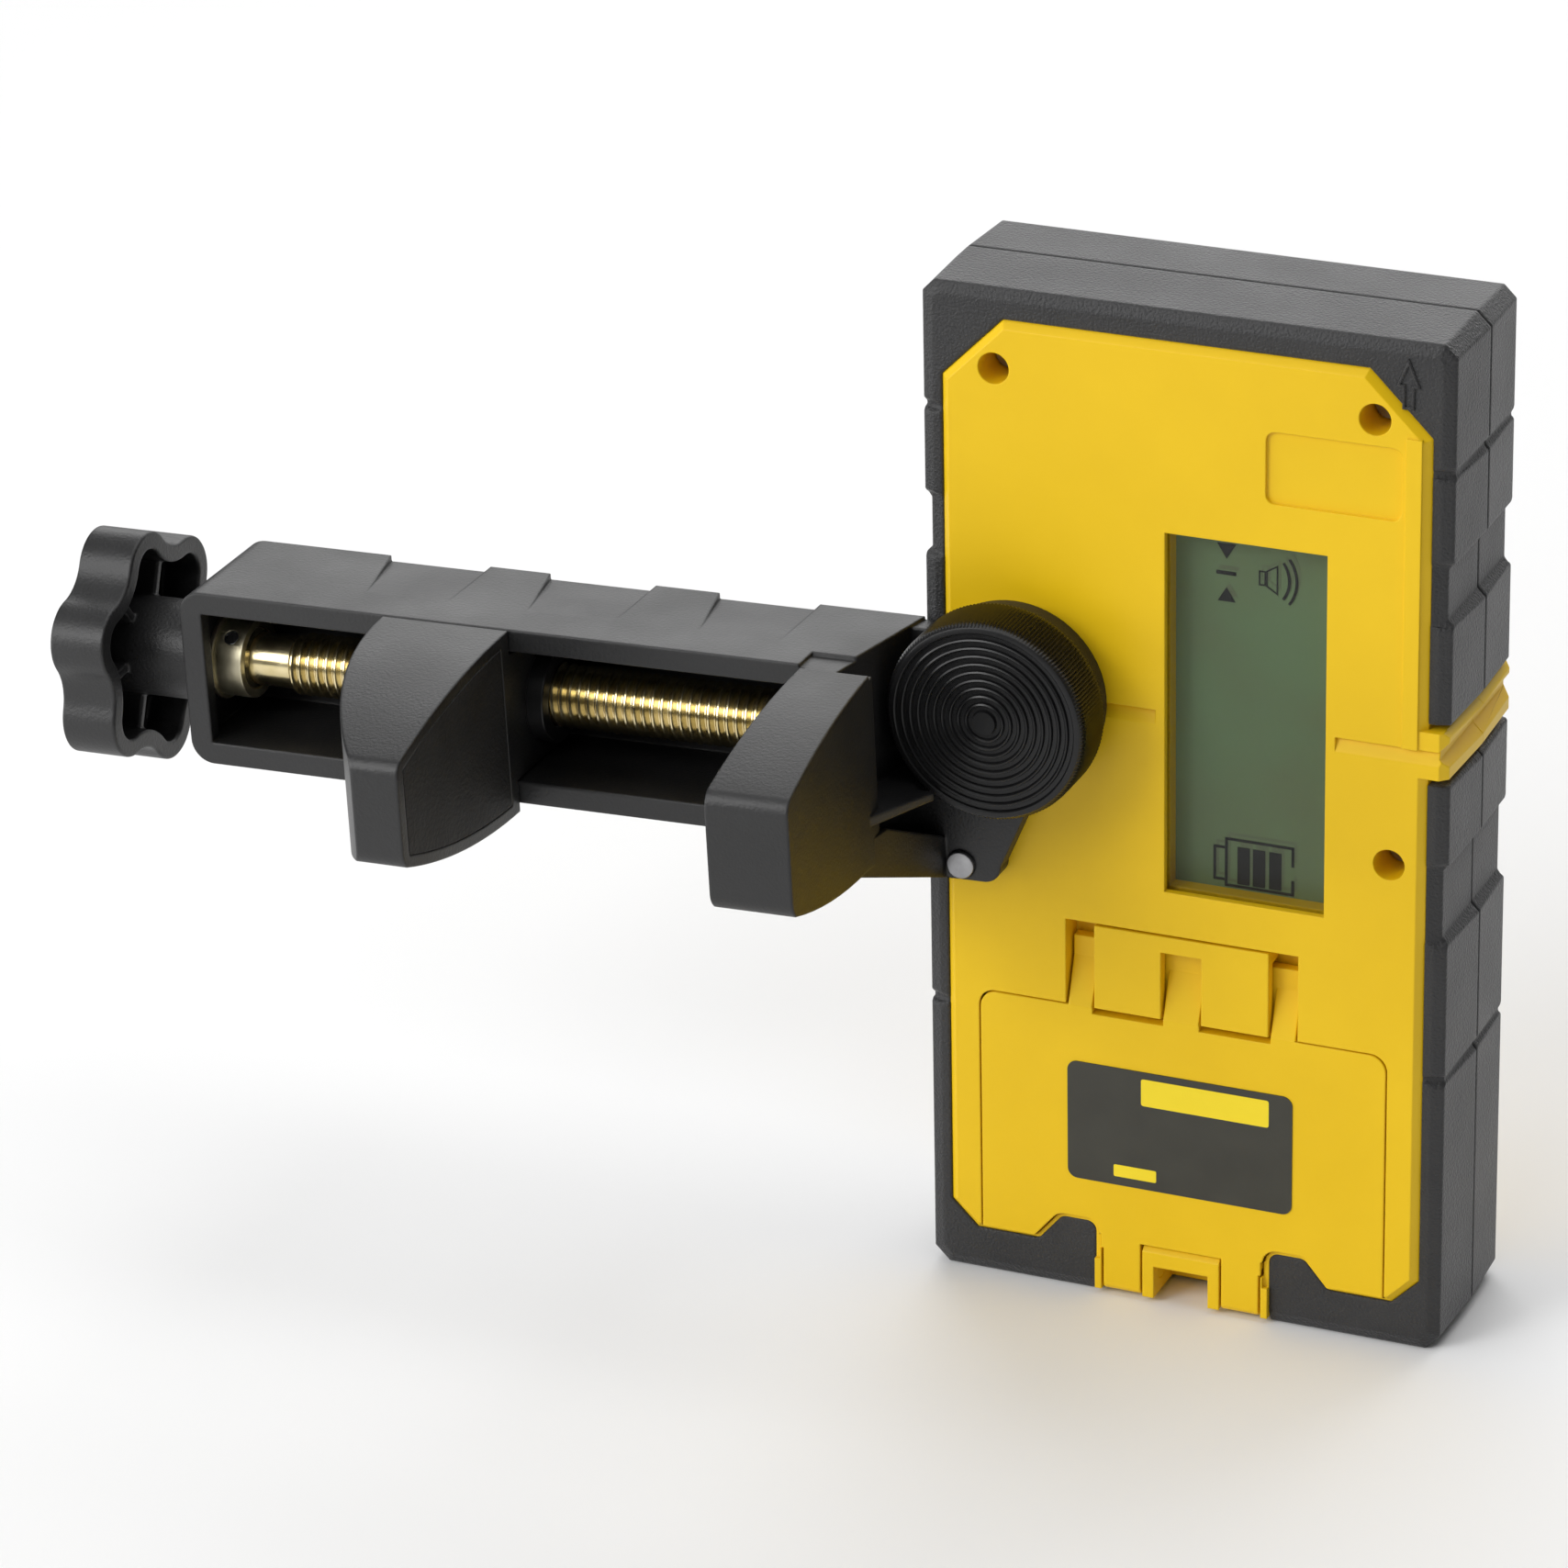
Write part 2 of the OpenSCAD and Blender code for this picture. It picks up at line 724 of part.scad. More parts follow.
// Hinge well: room for the door's ears, with the hollow knuckle between them
module well_cuts() {
    both_sides() span([ear_in - ear_gap, rear_y - over, -over],
                      [well_in, well_back_y, knuckle_top + door_gap]);
    knuckle_in = knuckle_half - knuckle_leg;
    bar(-knuckle_in, knuckle_in)
        polygon([[rear_y - over, -over], [rear_y - over, knuckle_top - knuckle_leg - hinge_r / 2],
                 [hinge_y, knuckle_top - knuckle_leg], [well_back_y, knuckle_top - knuckle_leg],
                 [well_back_y, -over]]);
    translate([0, hinge_y, hinge_z])
        rod_x(trunnion_r + run_fit, -knuckle_half - over, knuckle_half + over);
    // bevel that the door's lower edge swings past
    bar(-ear_in, ear_in)
        polygon([[rear_y - over, knuckle_rim - lug_rim_drop - over], [rear_y - over, knuckle_rim + over],
                 [rear_y + lug_rim_drop + over, knuckle_rim + over]]);
}

module rear_housing() {
    color(yellow) difference() {
        rear_shell();
        // seal groove
        difference() {
            panel_block(seal_inset, parting_y - seal_t, parting_y + over);
            panel_block(seal_inset + seal_w, parting_y - seal_t, parting_y + over);
        }
        // display: view, window rebate and glass pocket
        at(display_x, display_z) {
            slab(rear_y - over, display_face_y + display_t) square([display_w, display_h], center = true);
            slab(window_y, inner_rear_y)
                square([display_w + 2 * window_rim, display_h + 2 * window_rim], center = true);
            slab(display_face_y, display_face_y + display_t + over)
                square([display_w + 2 * display_rim, display_h + 2 * display_rim], center = true);
        }
        on_grade_line(-case_w, display_x - display_w / 2 - line_stop);
        on_grade_line(display_x + display_w / 2 + line_stop, case_w);
        at(note_x, note_z) slab(rear_y - over, rear_y + note_depth) round_rect(note_w, note_h, note_r);
        for (p = screw_places) at(p[0], p[1]) {
            rod_y(screw_well_r, rear_y - over, screw_seat_y);
            rod_y(screw_shank_r + seat_gap, rear_y, parting_y + over);
        }
        at(thumb_x, thumb_z) rod_y(stud_r + insert_wall, rear_y - over, rear_y + insert_l);
        on_clamp() translate([pin_p, 0, pin_q]) rod_y(pin_r + pin_gap, -over, pin_depth + pin_gap);
        // door opening, its ledge, the tray's inside and the latch pocket
        slab(rear_y - over, door_in_y) door_outline(door_gap);
        tray_block(tray_inset + tray_wall, door_in_y - over, tray_in_y, tray_bottom, tray_top);
        slab(rear_y - over, pocket_y) translate([-pocket_w / 2, door_top - tongue_foot])
            square([pocket_w, pocket_top - door_top + tongue_foot]);
        slab(rear_y - over, bumper_rear_y + lug_t) lug_outline(0);
        slab(rear_y - over, rear_y + lug_rim_drop) lug_outline(door_rim);
        well_cuts();
    }
    color(yellow) battery_ledge();
}

// Bar that the door closes on, between the door and the cells
module battery_ledge() {
    outer = panel_half_w - tray_inset - tray_wall / 2;
    both_sides() span([pocket_w / 2 + tray_wall, door_in_y, door_top - door_ledge],
                      [outer, door_in_y + tray_wall, door_top + door_ledge]);
}

module front_shell() {
    difference() {
        panel_block(0, parting_y, front_y, 0, panel_bevel);
        panel_block(wall, parting_y - over, inner_front_y);
    }
    band(parting_y, front_y);
    for (p = screw_places) at(p[0], p[1]) rod_y(boss_r, parting_y, inner_front_y + wall / 2);
    for (x = [-post_x, post_x], z = [board_bottom + post_inset, board_top - post_inset])
        at(x, z) rod_y(post_r, board_face_y, inner_front_y + wall / 2);
}

module front_opening(x, z, w, h) {
    at(x, z) {
        slab(inner_front_y - over, front_y + over)
            square([w - 2 * window_rim, h - 2 * window_rim], center = true);
        slab(front_y - window_t - seat_gap, front_y + over) square([w, h], center = true);
    }
}

module front_housing() {
    color(yellow) difference() {
        front_shell();
        front_opening(sensor_x, on_grade_z, sensor_w, sensor_h);
        front_opening(display_x, display_z, front_display_w, display_h);
        for (p = screw_places) at(p[0], p[1])
            rod_y(screw_shank_r + run_fit, parting_y - over, screw_tip_y + over);
        for (i = [-1:1]) at(i * key_pitch, key_z)
            rod_y(key_r + slide_gap, inner_front_y - over, front_y + over);
        for (i = [-1:1]) at(i * slot_pitch, buzzer_z) slab(inner_front_y - over, front_y + over)
            square([slot_w, slot_l], center = true);
    }
}

module housing_seal() {
    color(rubber) difference() {
        panel_block(seal_inset, parting_y - seal_t, parting_y);
        panel_block(seal_inset + seal_w, parting_y - seal_t - over, parting_y + over);
    }
}

module housing_screws() {
    color(steel) for (p = screw_places) at(p[0], p[1]) {
        rod_y(screw_head_r, screw_seat_y - screw_head_t, screw_seat_y);
        rod_y(screw_shank_r, screw_seat_y - screw_head_t / 2, screw_tip_y);
    }
}

module mount_insert() {
    color(brass) at(thumb_x, thumb_z) difference() {
        rod_y(stud_r + insert_wall, rear_y + seat_gap, rear_y + insert_l);
        rod_y(stud_r + run_fit, rear_y - over, rear_y + insert_l + over);
    }
}

// Displays, sensor and electronics

module rear_display_window() {
    grow = 2 * window_rim - seat_gap;
    color([0.75, 0.82, 0.8, 0.35]) at(display_x, display_z) slab(window_y, inner_rear_y)
        square([display_w + grow, display_h + grow], center = true);
}

module rear_display() {
    grow = 2 * display_rim - seat_gap;
    color([0.42, 0.47, 0.42]) at(display_x, display_z) slab(display_face_y, display_face_y + display_t)
        square([display_w + grow, display_h + grow], center = true);
}

module front_window(x, z, w, h) {
    at(x, z) slab(front_y - window_t - seat_gap, front_y - seat_gap)
        square([w - seat_gap, h - seat_gap], center = true);
}

module front_display_window() {
    color([0.75, 0.82, 0.8, 0.35]) front_window(display_x, display_z, front_display_w, display_h);
}

module sensor_window() {
    color([0.35, 0.05, 0.05, 0.6]) front_window(sensor_x, on_grade_z, sensor_w, sensor_h);
}

module front_display() {
    color([0.42, 0.47, 0.42]) at(display_x, display_z) slab(board_face_y, board_face_y + display_t)
        square([front_display_w, display_h], center = true);
}

module photodiode_strip() {
    color([0.12, 0.12, 0.16]) at(sensor_x, on_grade_z) slab(board_face_y, board_face_y + diode_t)
        square([diode_w, sensor_h - 2 * diode_margin], center = true);
}

module main_board() {
    color([0.05, 0.35, 0.15])
        span([-board_w / 2, board_y, board_bottom], [board_w / 2, board_face_y, board_top]);
}

module key_switches() {
    color([0.2, 0.2, 0.2]) for (i = [-1:1]) at(i * key_pitch, key_z)
        slab(board_face_y, board_face_y + switch_t) square(switch_w, center = true);
}

module buzzer() {
    color([0.08, 0.08, 0.08]) at(0, buzzer_z) rod_y(buzzer_r, inner_front_y - buzzer_t, inner_front_y);
}

module key(x) {
    at(x, key_z) {
        rod_y(key_r, inner_front_y - key_flange_t / 2, front_y + key_proud);
        rod_y(key_r + key_flange_w, inner_front_y - key_flange_t, inner_front_y);
    }
}

module power_button() {
    color(rubber) key(-key_pitch);
}

module volume_button() {
    color(rubber) key(0);
}

module precision_button() {
    color(rubber) key(key_pitch);
}

// Batteries and door

module battery_cells() {
    color([0.3, 0.32, 0.34]) for (i = [0, 1]) mirror([i, 0, 0])
        translate([0, cell_y, tray_bottom + cell_gap + cell_r + i * (2 * cell_r + cell_gap)]) {
            rod_x(cell_r, -cell_can / 2, cell_can / 2);
            rod_x(cell_nub_r, cell_can / 2 - cell_nub_l, cell_can / 2 + cell_nub_l);
        }
}

// Leaf contacts on the tray's end walls: one bridges both cells, two are single
module leaf(z, x1) {
    translate([0, cell_y, z]) {
        span([x1 - contact_t, -contact_w / 2, -contact_w / 2], [x1, contact_w / 2, contact_w / 2]);
        rod_x(contact_bow_r, cell_can / 2 + cell_nub_l + cell_gap, x1 - contact_t / 2);
    }
}

module battery_contacts() {
    low_z = tray_bottom + cell_gap + cell_r;
    high_z = low_z + 2 * cell_r + cell_gap;
    color(steel) {
        for (z = [low_z, high_z]) leaf(z, tray_half);
        mirror([1, 0, 0]) {
            for (z = [low_z, high_z]) leaf(z, tray_half);
            span([tray_half - contact_t, cell_y - contact_w / 2, low_z],
                 [tray_half, cell_y + contact_w / 2, high_z]);
        }
    }
}

// Door outline, grown all round by a gap
module door_outline(grow) {
    half = door_w / 2 + grow;
    top = door_top + grow;
    low = door_bottom - grow;
    difference() {
        union() {
            translate([-half, low]) square([2 * half, top - door_r - low]);
            translate([-half + door_r, low]) square([2 * (half - door_r), top - low]);
            for (x = [-1, 1]) translate([x * (half - door_r), top - door_r]) circle(door_r);
        }
        door_notches(grow);
    }
}

// Notches in the door's lower edge for the lugs, the well's walls and the knuckle
module door_notches(grow) {
    lug_outline(door_rim - grow);
    both_sides() translate([well_in + grow, 0])
        square([well_out - well_in, door_bottom + lug_rise / 2]);
    translate([-knuckle_half - ear_gap + grow, 0])
        square([2 * (knuckle_half + ear_gap - grow), knuckle_top + ear_gap - grow]);
}

// The door behind its lip, stepped up along the lower edge so that it swings clear of the rim
module door_inside() {
    difference() {
        door_outline(0);
        translate([0, door_swing_step]) door_notches(0);
        translate([-door_w, 0]) square([2 * door_w, door_bottom + door_swing_step]);
    }
}

module door_ear() {
    bar(ear_in, ear_out) {
        translate([hinge_y, hinge_z]) circle(hinge_r);
        translate([rear_y, well_bottom + ear_corner])
            square([hinge_r, knuckle_top - well_bottom - ear_corner]);
        translate([rear_y + ear_corner, well_bottom]) square([hinge_r - ear_corner, hinge_r]);
        translate([rear_y + ear_corner, well_bottom + ear_corner]) circle(ear_corner);
        translate([rear_y, hinge_z]) square([door_t, knuckle_top + over - hinge_z]);
    }
    translate([0, hinge_y, hinge_z]) rod_x(trunnion_r, knuckle_half - knuckle_leg, ear_in + over);
}

module ramp(x0, x1) {
    back_y = tongue_y + tongue_t / 2;
    bar(x0, x1) polygon([[rear_y, door_top - over], [rear_y, door_top], [tongue_y, door_top + ramp_rise],
                         [back_y, door_top + ramp_rise], [back_y, door_top - over]]);
}

module battery_door() {
    leg_in = latch_notch / 2 - slide_gap;
    leg_out = latch_w / 2 + slide_gap;
    color(yellow) {
        difference() {
            union() {
                slab(rear_y, rear_y + door_lip) door_outline(0);
                slab(rear_y + door_lip / 2, door_in_y) door_inside();
            }
            // room under the legs of the latch
            both_sides() span([leg_in, rear_y - over, door_top - latch_ledge],
                              [leg_out, door_in_y + over, door_top + over]);
        }
        both_sides() door_ear();
        // tongue behind the latch, stepped in from the door
        bar(-tongue_w / 2, tongue_w / 2)
            polygon([[door_in_y - door_t / 2, door_top - tongue_foot], [door_in_y, door_top - tongue_foot],
                     [tongue_y + tongue_t, door_top - tongue_foot + tongue_t + slide_gap],
                     [tongue_y + tongue_t, tongue_top], [tongue_y, tongue_top],
                     [tongue_y, door_top - latch_ledge - tongue_t / 2],
                     [door_in_y - door_t / 2, door_top - latch_ledge - tongue_t / 2]]);
        ramp(-leg_in, leg_in);
        both_sides() ramp(leg_out, tongue_w / 2);
    }
}

module door_latch() {
    face = rear_y - latch_proud;
    color(yellow) {
        difference() {
            slab(face, face + latch_t) translate([-latch_w / 2, latch_leg_z])
                square([latch_w, latch_top - latch_leg_z]);
            slab(face - over, face + latch_t + over) translate([-latch_notch / 2, latch_leg_z - over])
                square([latch_notch, latch_top - latch_notch_h - latch_leg_z + over]);
        }
        span([-latch_w / 2, face + latch_t / 2, latch_top - latch_bridge_t],
             [latch_w / 2, tongue_y + tongue_t, latch_top]);
    }
}

// Clamp body

module channel_outline() {
    w = channel_end - channel_right;
    translate([-channel_end, channel_bottom]) {
        translate([channel_r, 0]) square([w - channel_r, channel_h]);
        translate([0, channel_r]) square([w, channel_h - 2 * channel_r]);
        for (z = [channel_r, channel_h - channel_r]) translate([channel_r, z]) circle(channel_r);
    }
}

module channel_block() {
    intersection() {
        slab(channel_mouth_y, 0) channel_outline();
        translate([0, 0, channel_bottom - over]) linear_extrude(channel_h + 2 * over)
            polygon([[-channel_end - over, 0], [-channel_right, 0],
                     [-channel_right - channel_slant, channel_mouth_y],
                     [-channel_end - over, channel_mouth_y]]);
    }
}

// Scoops between the raised pads along the upper edge, deepest at the back
module scoops() {
    l = channel_end - channel_right;
    run_out_y = -scoop_share * channel_depth;
    for (i = [0:len(scoop_from_shares) - 1]) {
        p0 = scoop_from_shares[i] * l - channel_end;
        p1 = scoop_to_shares[i] * l - channel_end;
        intersection() {
            bar(p0, p1)
                polygon([[over, channel_top - scoop_depth], [over, channel_top + over],
                         [run_out_y, channel_top + over], [run_out_y, channel_top],
                         [0, channel_top - scoop_depth]]);
            translate([0, 0, channel_top - scoop_depth - over]) linear_extrude(scoop_depth + 3 * over)
                polygon([[p0, over], [p1, over], [p1, run_out_y], [p0 + scoop_slant, run_out_y]]);
        }
    }
}

// Side outline of a jaw: two shallow arcs that close to a blunt tip with round edges.
// The tip's circles stand out a hair, so that they cross the arcs at a small angle.
module jaw_outline(reach_y) {
    tip_y = channel_mouth_y - reach_y;
    fillet_y = tip_y + jaw_tip_r;
    run = fillet_y - channel_mouth_y;
    arc_rs = [jaw_down_r, jaw_up_r];
    translate([0, mid_q]) for (i = [0, 1]) mirror([0, 1 - i]) {
        inner_r = arc_rs[i] - jaw_tip_r;
        middle_q = jaw_h / 2 - arc_rs[i];
        fillet_q = middle_q + sqrt(inner_r * inner_r - run * run) + jaw_tip_edge;
        touch_y = fillet_y + jaw_tip_r * run / inner_r;
        intersection() {
            translate([channel_mouth_y, middle_q]) circle(arc_rs[i], $fn = 256);
            union() {
                translate([touch_y, 0]) square([channel_mouth_y - touch_y, jaw_h]);
                translate([tip_y, 0]) square([jaw_tip_r, fillet_q]);
                translate([fillet_y, fillet_q]) circle(jaw_tip_r);
            }
        }
    }
}

// Inset pad on a jaw's face, a margin inside the jaw's outline
module pad_outline(reach_y) {
    back = channel_mouth_y - pad_inner;
    front = channel_mouth_y - reach_y + pad_margin;
    intersection() {
        translate([pad_margin, 0]) jaw_outline(reach_y);
        translate([0, pad_margin]) jaw_outline(reach_y);
        translate([0, -pad_margin]) jaw_outline(reach_y);
        translate([front, mid_q - jaw_h]) square([back - front, 2 * jaw_h]);
    }
}

module fixed_jaw() {
    intersection() {
        bar(-jaw_face, -jaw_face + fixed_tip_t) jaw_outline(fixed_reach);
        translate([0, 0, mid_q - jaw_h]) linear_extrude(2 * jaw_h)
            polygon([[-jaw_face, channel_mouth_y], [-jaw_face + fixed_root_t, channel_mouth_y],
                     [-jaw_face + fixed_tip_t, channel_mouth_y - fixed_reach],
                     [-jaw_face, channel_mouth_y - fixed_reach]]);
    }
}

module plate_outline() {
    left = -channel_right - channel_slant;
    corner_q = ear_bottom_q + ear_corner_r;
    circle(plate_r);
    polygon([[left, plate_top_q], [0, plate_top_q], [ear_slope_p, ear_slope_q],
             [ear_right_p + ear_corner_r, corner_q], [ear_right_p, corner_q],
             [ear_right_p, ear_bottom_q], [-jaw_face, ear_bottom_q],
             [-jaw_face, channel_bottom + channel_wall], [left, channel_bottom + channel_wall]]);
    translate([ear_right_p, corner_q]) circle(ear_corner_r);
}

module clamp_solid() {
    left = -channel_right - channel_slant;
    web_low_q = mid_q - jaw_h / 2 + web_set;
    channel_block();
    fixed_jaw();
    slab(-plate_t, 0) plate_outline();
    // upper rib and lower web between the plate and the fixed jaw
    translate([0, 0, rib_q]) linear_extrude(rib_t)
        polygon([[left, -plate_t / 2], [rib_foot_p, -plate_t / 2], [rib_foot_p, -plate_t],
                 [web_head_p, rib_head_y], [left, rib_head_y]]);
    intersection() {
        bar(-jaw_face, 0) polygon([[-plate_t / 2, ear_bottom_q], [-plate_t, ear_bottom_q],
            [web_head_y, web_low_q], [web_head_y, web_low_q + web_t],
            [channel_mouth_y + over, channel_bottom + web_t], [-plate_t / 2, ear_bottom_q + 2 * web_t]]);
        translate([0, 0, ear_bottom_q - over]) linear_extrude(channel_h + 2 * over)
            polygon([[-jaw_face, 0], [web_foot_p, 0], [web_foot_p, -plate_t],
                     [web_head_p, web_head_y], [-jaw_face, web_head_y]]);
    }
}

module clamp_body() {
    color(black) on_clamp() difference() {
        clamp_solid();
        span([lip_w - channel_end, channel_mouth_y - over, channel_bottom + channel_wall],
             [-jaw_face, -channel_wall, channel_top - channel_wall]);
        span([end_in, channel_mouth_y + lip_t, channel_bottom + channel_wall],
             [-jaw_face - over, -channel_wall, channel_top - channel_wall]);
        scoops();
        // step in the upper face where the fixed jaw starts
        span([-jaw_face - over / 2, channel_mouth_y - over, channel_top - step_drop],
             [-channel_right + over, channel_mouth_y + step_l, channel_top + over]);
        translate([0, screw_y, screw_q]) {
            rod_x(screw_r + run_fit, -channel_end - over, end_in + over);
            rod_x(journal_r + run_fit, -jaw_face - over, -jaw_face + journal_l + seat_gap);
        }
        bar(-jaw_face - over, -jaw_face + pad_t) pad_outline(fixed_reach);
        // room for the thumbscrew's knob, its stud and its clip
        rod_y(knob_r + slide_gap, -plate_t - knob_t - over, -plate_t);
        rod_y(stud_r + plate_hole_gap, -plate_t - over, over);
        rod_y(clip_r + plate_hole_gap, -clip_t - 2 * plate_hole_gap, over);
        translate([pin_p, 0, pin_q]) rod_y(pin_r, -plate_t - over, over);
    }
}

module fixed_jaw_pad() {
    color(rubber) on_clamp() bar(-jaw_face, -jaw_face + pad_t) pad_outline(fixed_reach);
}

module locating_pin() {
    color(steel) on_clamp() translate([pin_p, 0, pin_q]) rod_y(pin_r, -plate_t - pin_proud, pin_depth);
}

// Sliding jaw and its screw

module sliding_jaw() {
    back_p = -slider_face - slider_t;
    bore_lo = channel_bottom + channel_wall + slide_gap;
    bore_hi = channel_top - channel_wall - slide_gap;
    color(black) on_clamp() difference() {
        union() {
            intersection() {
                bar(back_p - over, -slider_face) intersection() {
                    jaw_outline(jaw_reach);
                    translate([channel_mouth_y - jaw_reach - over, mid_q - jaw_h])
                        square([jaw_reach + over - slide_gap, 2 * jaw_h]);
                }
                translate([-slider_face + slider_arc_r - slider_t, channel_mouth_y, mid_q - jaw_h])
                    cylinder(r = slider_arc_r, h = 2 * jaw_h, $fn = 256);
            }
            span([back_p + slider_shoulder, channel_mouth_y - 2 * slide_gap, bore_lo],
                 [-slider_face, -channel_wall - slide_gap, bore_hi]);
        }
        translate([0, screw_y, screw_q]) {
            rod_x(screw_r + slide_gap, back_p - over, -slider_face + over);
            rod_x(nut_r, -slider_face + nut_proud - nut_l, -slider_face + over);
        }
        bar(-slider_face - pad_t, -slider_face + over) pad_outline(jaw_reach);
    }
}

module sliding_jaw_pad() {
    color(rubber) on_clamp() bar(-slider_face - pad_t, -slider_face) pad_outline(jaw_reach);
}

module jaw_nut() {
    color([0.2, 0.2, 0.2]) on_clamp() translate([0, screw_y, screw_q]) difference() {
        rod_x(nut_r, -slider_face + nut_proud - nut_l, -slider_face + nut_proud);
        rod_x(screw_r + run_fit, -slider_face - nut_l - over, -slider_face + nut_proud + over);
    }
}

// Cross hole of the collar, turned up from the mouth of the channel
module collar_bore(half_l) {
    translate([collar_p + collar_l / 2, 0, 0]) rotate([-collar_pin_turn, 0, 0])
        rod_y(collar_pin_r, -half_l, half_l);
}

module jaw_screw() {
    color(zinc) on_clamp() translate([0, screw_y, screw_q]) difference() {
        union() {
            rod_x(screw_r, star_back_p + star_floor + seat_gap, shank_p);
            rod_x(screw_r - thread_depth, shank_p - over, shank_p + shank_l + over);
            rod_x(screw_r, shank_p + shank_l, -jaw_face - seat_gap);
            rod_x(journal_r, -jaw_face - over, -jaw_face + journal_l);
        }
        collar_bore(collar_r + over);
    }
}

module thrust_washer() {
    color(zinc) on_clamp() translate([0, screw_y, screw_q]) difference() {
        rod_x(washer_r, end_in, end_in + washer_t);
        rod_x(screw_r + run_fit, end_in - over, end_in + washer_t + over);
    }
}

module screw_collar() {
    color(zinc) on_clamp() translate([0, screw_y, screw_q]) difference() {
        rod_x(collar_r, collar_p, collar_p + collar_l);
        rod_x(screw_r, collar_p - over, collar_p + collar_l + over);
        collar_bore(collar_r + over);
    }
}

module collar_pin() {
    color(steel) on_clamp() translate([0, screw_y, screw_q]) collar_bore(collar_r - seat_gap);
}

// Star outline: round lobes and round hollows that meet in line, moved in by an inset
module star_outline(inset) {
    step = 180 / lobes;
    lobe_d = star_r - lobe_r;
    lobe_run = lobe_d * cos(step);
    hollow_r = (lobe_d * lobe_d + star_waist * star_waist - 2 * lobe_run * star_waist - lobe_r * lobe_r)
        / (2 * (lobe_r - star_waist + lobe_run));
    hollow_d = star_waist + hollow_r;
    share = (lobe_r - inset) / (lobe_r + hollow_r);
    function spot(d, a) = [d * cos(a), d * sin(a)];
    difference() {
        union() {
            polygon([for (i = [0:lobes - 1], s = [-1, 1]) let(a = 2 * step * i)
                spot(lobe_d, a) * (1 - share) + spot(hollow_d, a + s * step) * share]);
            for (i = [0:lobes - 1]) translate(spot(lobe_d, 2 * step * i)) circle(lobe_r - inset);
        }
        for (i = [0:lobes - 1]) translate(spot(hollow_d, 2 * step * (i + 1 / 2))) circle(hollow_r + inset);
    }
}

module star_knob() {
    first_lobe = 36;
    color(black) on_clamp() translate([0, screw_y, screw_q]) difference() {
        union() {
            difference() {
                bar(star_back_p, star_face_p) rotate(first_lobe) star_outline(0);
                bar(star_back_p + star_floor, star_face_p + over)
                    rotate(first_lobe) star_outline(star_wall);
            }
            rod_x(neck_r, star_back_p + star_floor / 2, star_face_p + neck_l);
            for (i = [0:lobes - 1]) rotate([first_lobe + 360 / lobes * (i + 1 / 2), 0, 0])
                span([star_back_p + star_floor / 2, 0, -star_rib_t / 2],
                     [star_face_p - star_rib_drop, star_waist - star_wall / 2, star_rib_t / 2]);
        }
        rod_x(screw_r, star_back_p + star_floor, star_face_p + neck_l + over);
    }
}

// Thumbscrew

module knob_profile() {
    flat_r = knob_r - knob_edge;
    pitch = (flat_r - ring_start) / knob_rings;
    rings = [for (i = [0:knob_rings - 1]) let(r = ring_start + i * pitch)
        each [[r, knob_t], [r + pitch / 3, knob_t - ring_depth], [r + 2 * pitch / 3, knob_t - ring_depth]]];
    polygon(concat([[0, 0], [0, knob_t]], rings,
                   [[flat_r, knob_t], [knob_r, knob_t - knob_edge], [knob_r, knob_edge], [flat_r, 0]]));
}

module thumbscrew_knob() {
    color(black) on_clamp() difference() {
        translate([0, -plate_t, 0]) rotate([90, 0, 0]) rotate_extrude($fn = 96) knob_profile();
        rod_y(stud_r, -plate_t - stud_grip, over);
    }
}

module thumbscrew_stud() {
    color(steel) on_clamp() difference() {
        rod_y(stud_r, -plate_t - stud_grip, stud_depth);
        difference() {
            rod_y(clip_r, -clip_t - plate_hole_gap, -plate_hole_gap);
            rod_y(stud_r - clip_neck, -plate_t, over);
        }
    }
}

module thumbscrew_clip() {
    color(steel) on_clamp() difference() {
        rod_y(clip_r, -clip_t - plate_hole_gap, -plate_hole_gap);
        rod_y(stud_r - clip_neck, -plate_t, over);
    }
}

rear_housing();
front_housing();
rear_upper_bumper();
rear_lower_bumper();
front_upper_bumper();
front_lower_bumper();
rear_display_window();
rear_display();
front_display_window();
front_display();
sensor_window();
photodiode_strip();
main_board();
key_switches();
buzzer();
housing_seal();
housing_screws();
mount_insert();
battery_cells();
battery_contacts();
power_button();
volume_button();
precision_button();
battery_door();
door_latch();
clamp_body();
fixed_jaw_pad();
locating_pin();
sliding_jaw();
sliding_jaw_pad();
jaw_nut();
jaw_screw();
thrust_washer();
screw_collar();
collar_pin();
star_knob();
thumbscrew_knob();
thumbscrew_stud();
thumbscrew_clip();
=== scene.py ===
import json
import math

import bmesh
import bpy
from mathutils import Matrix, Vector


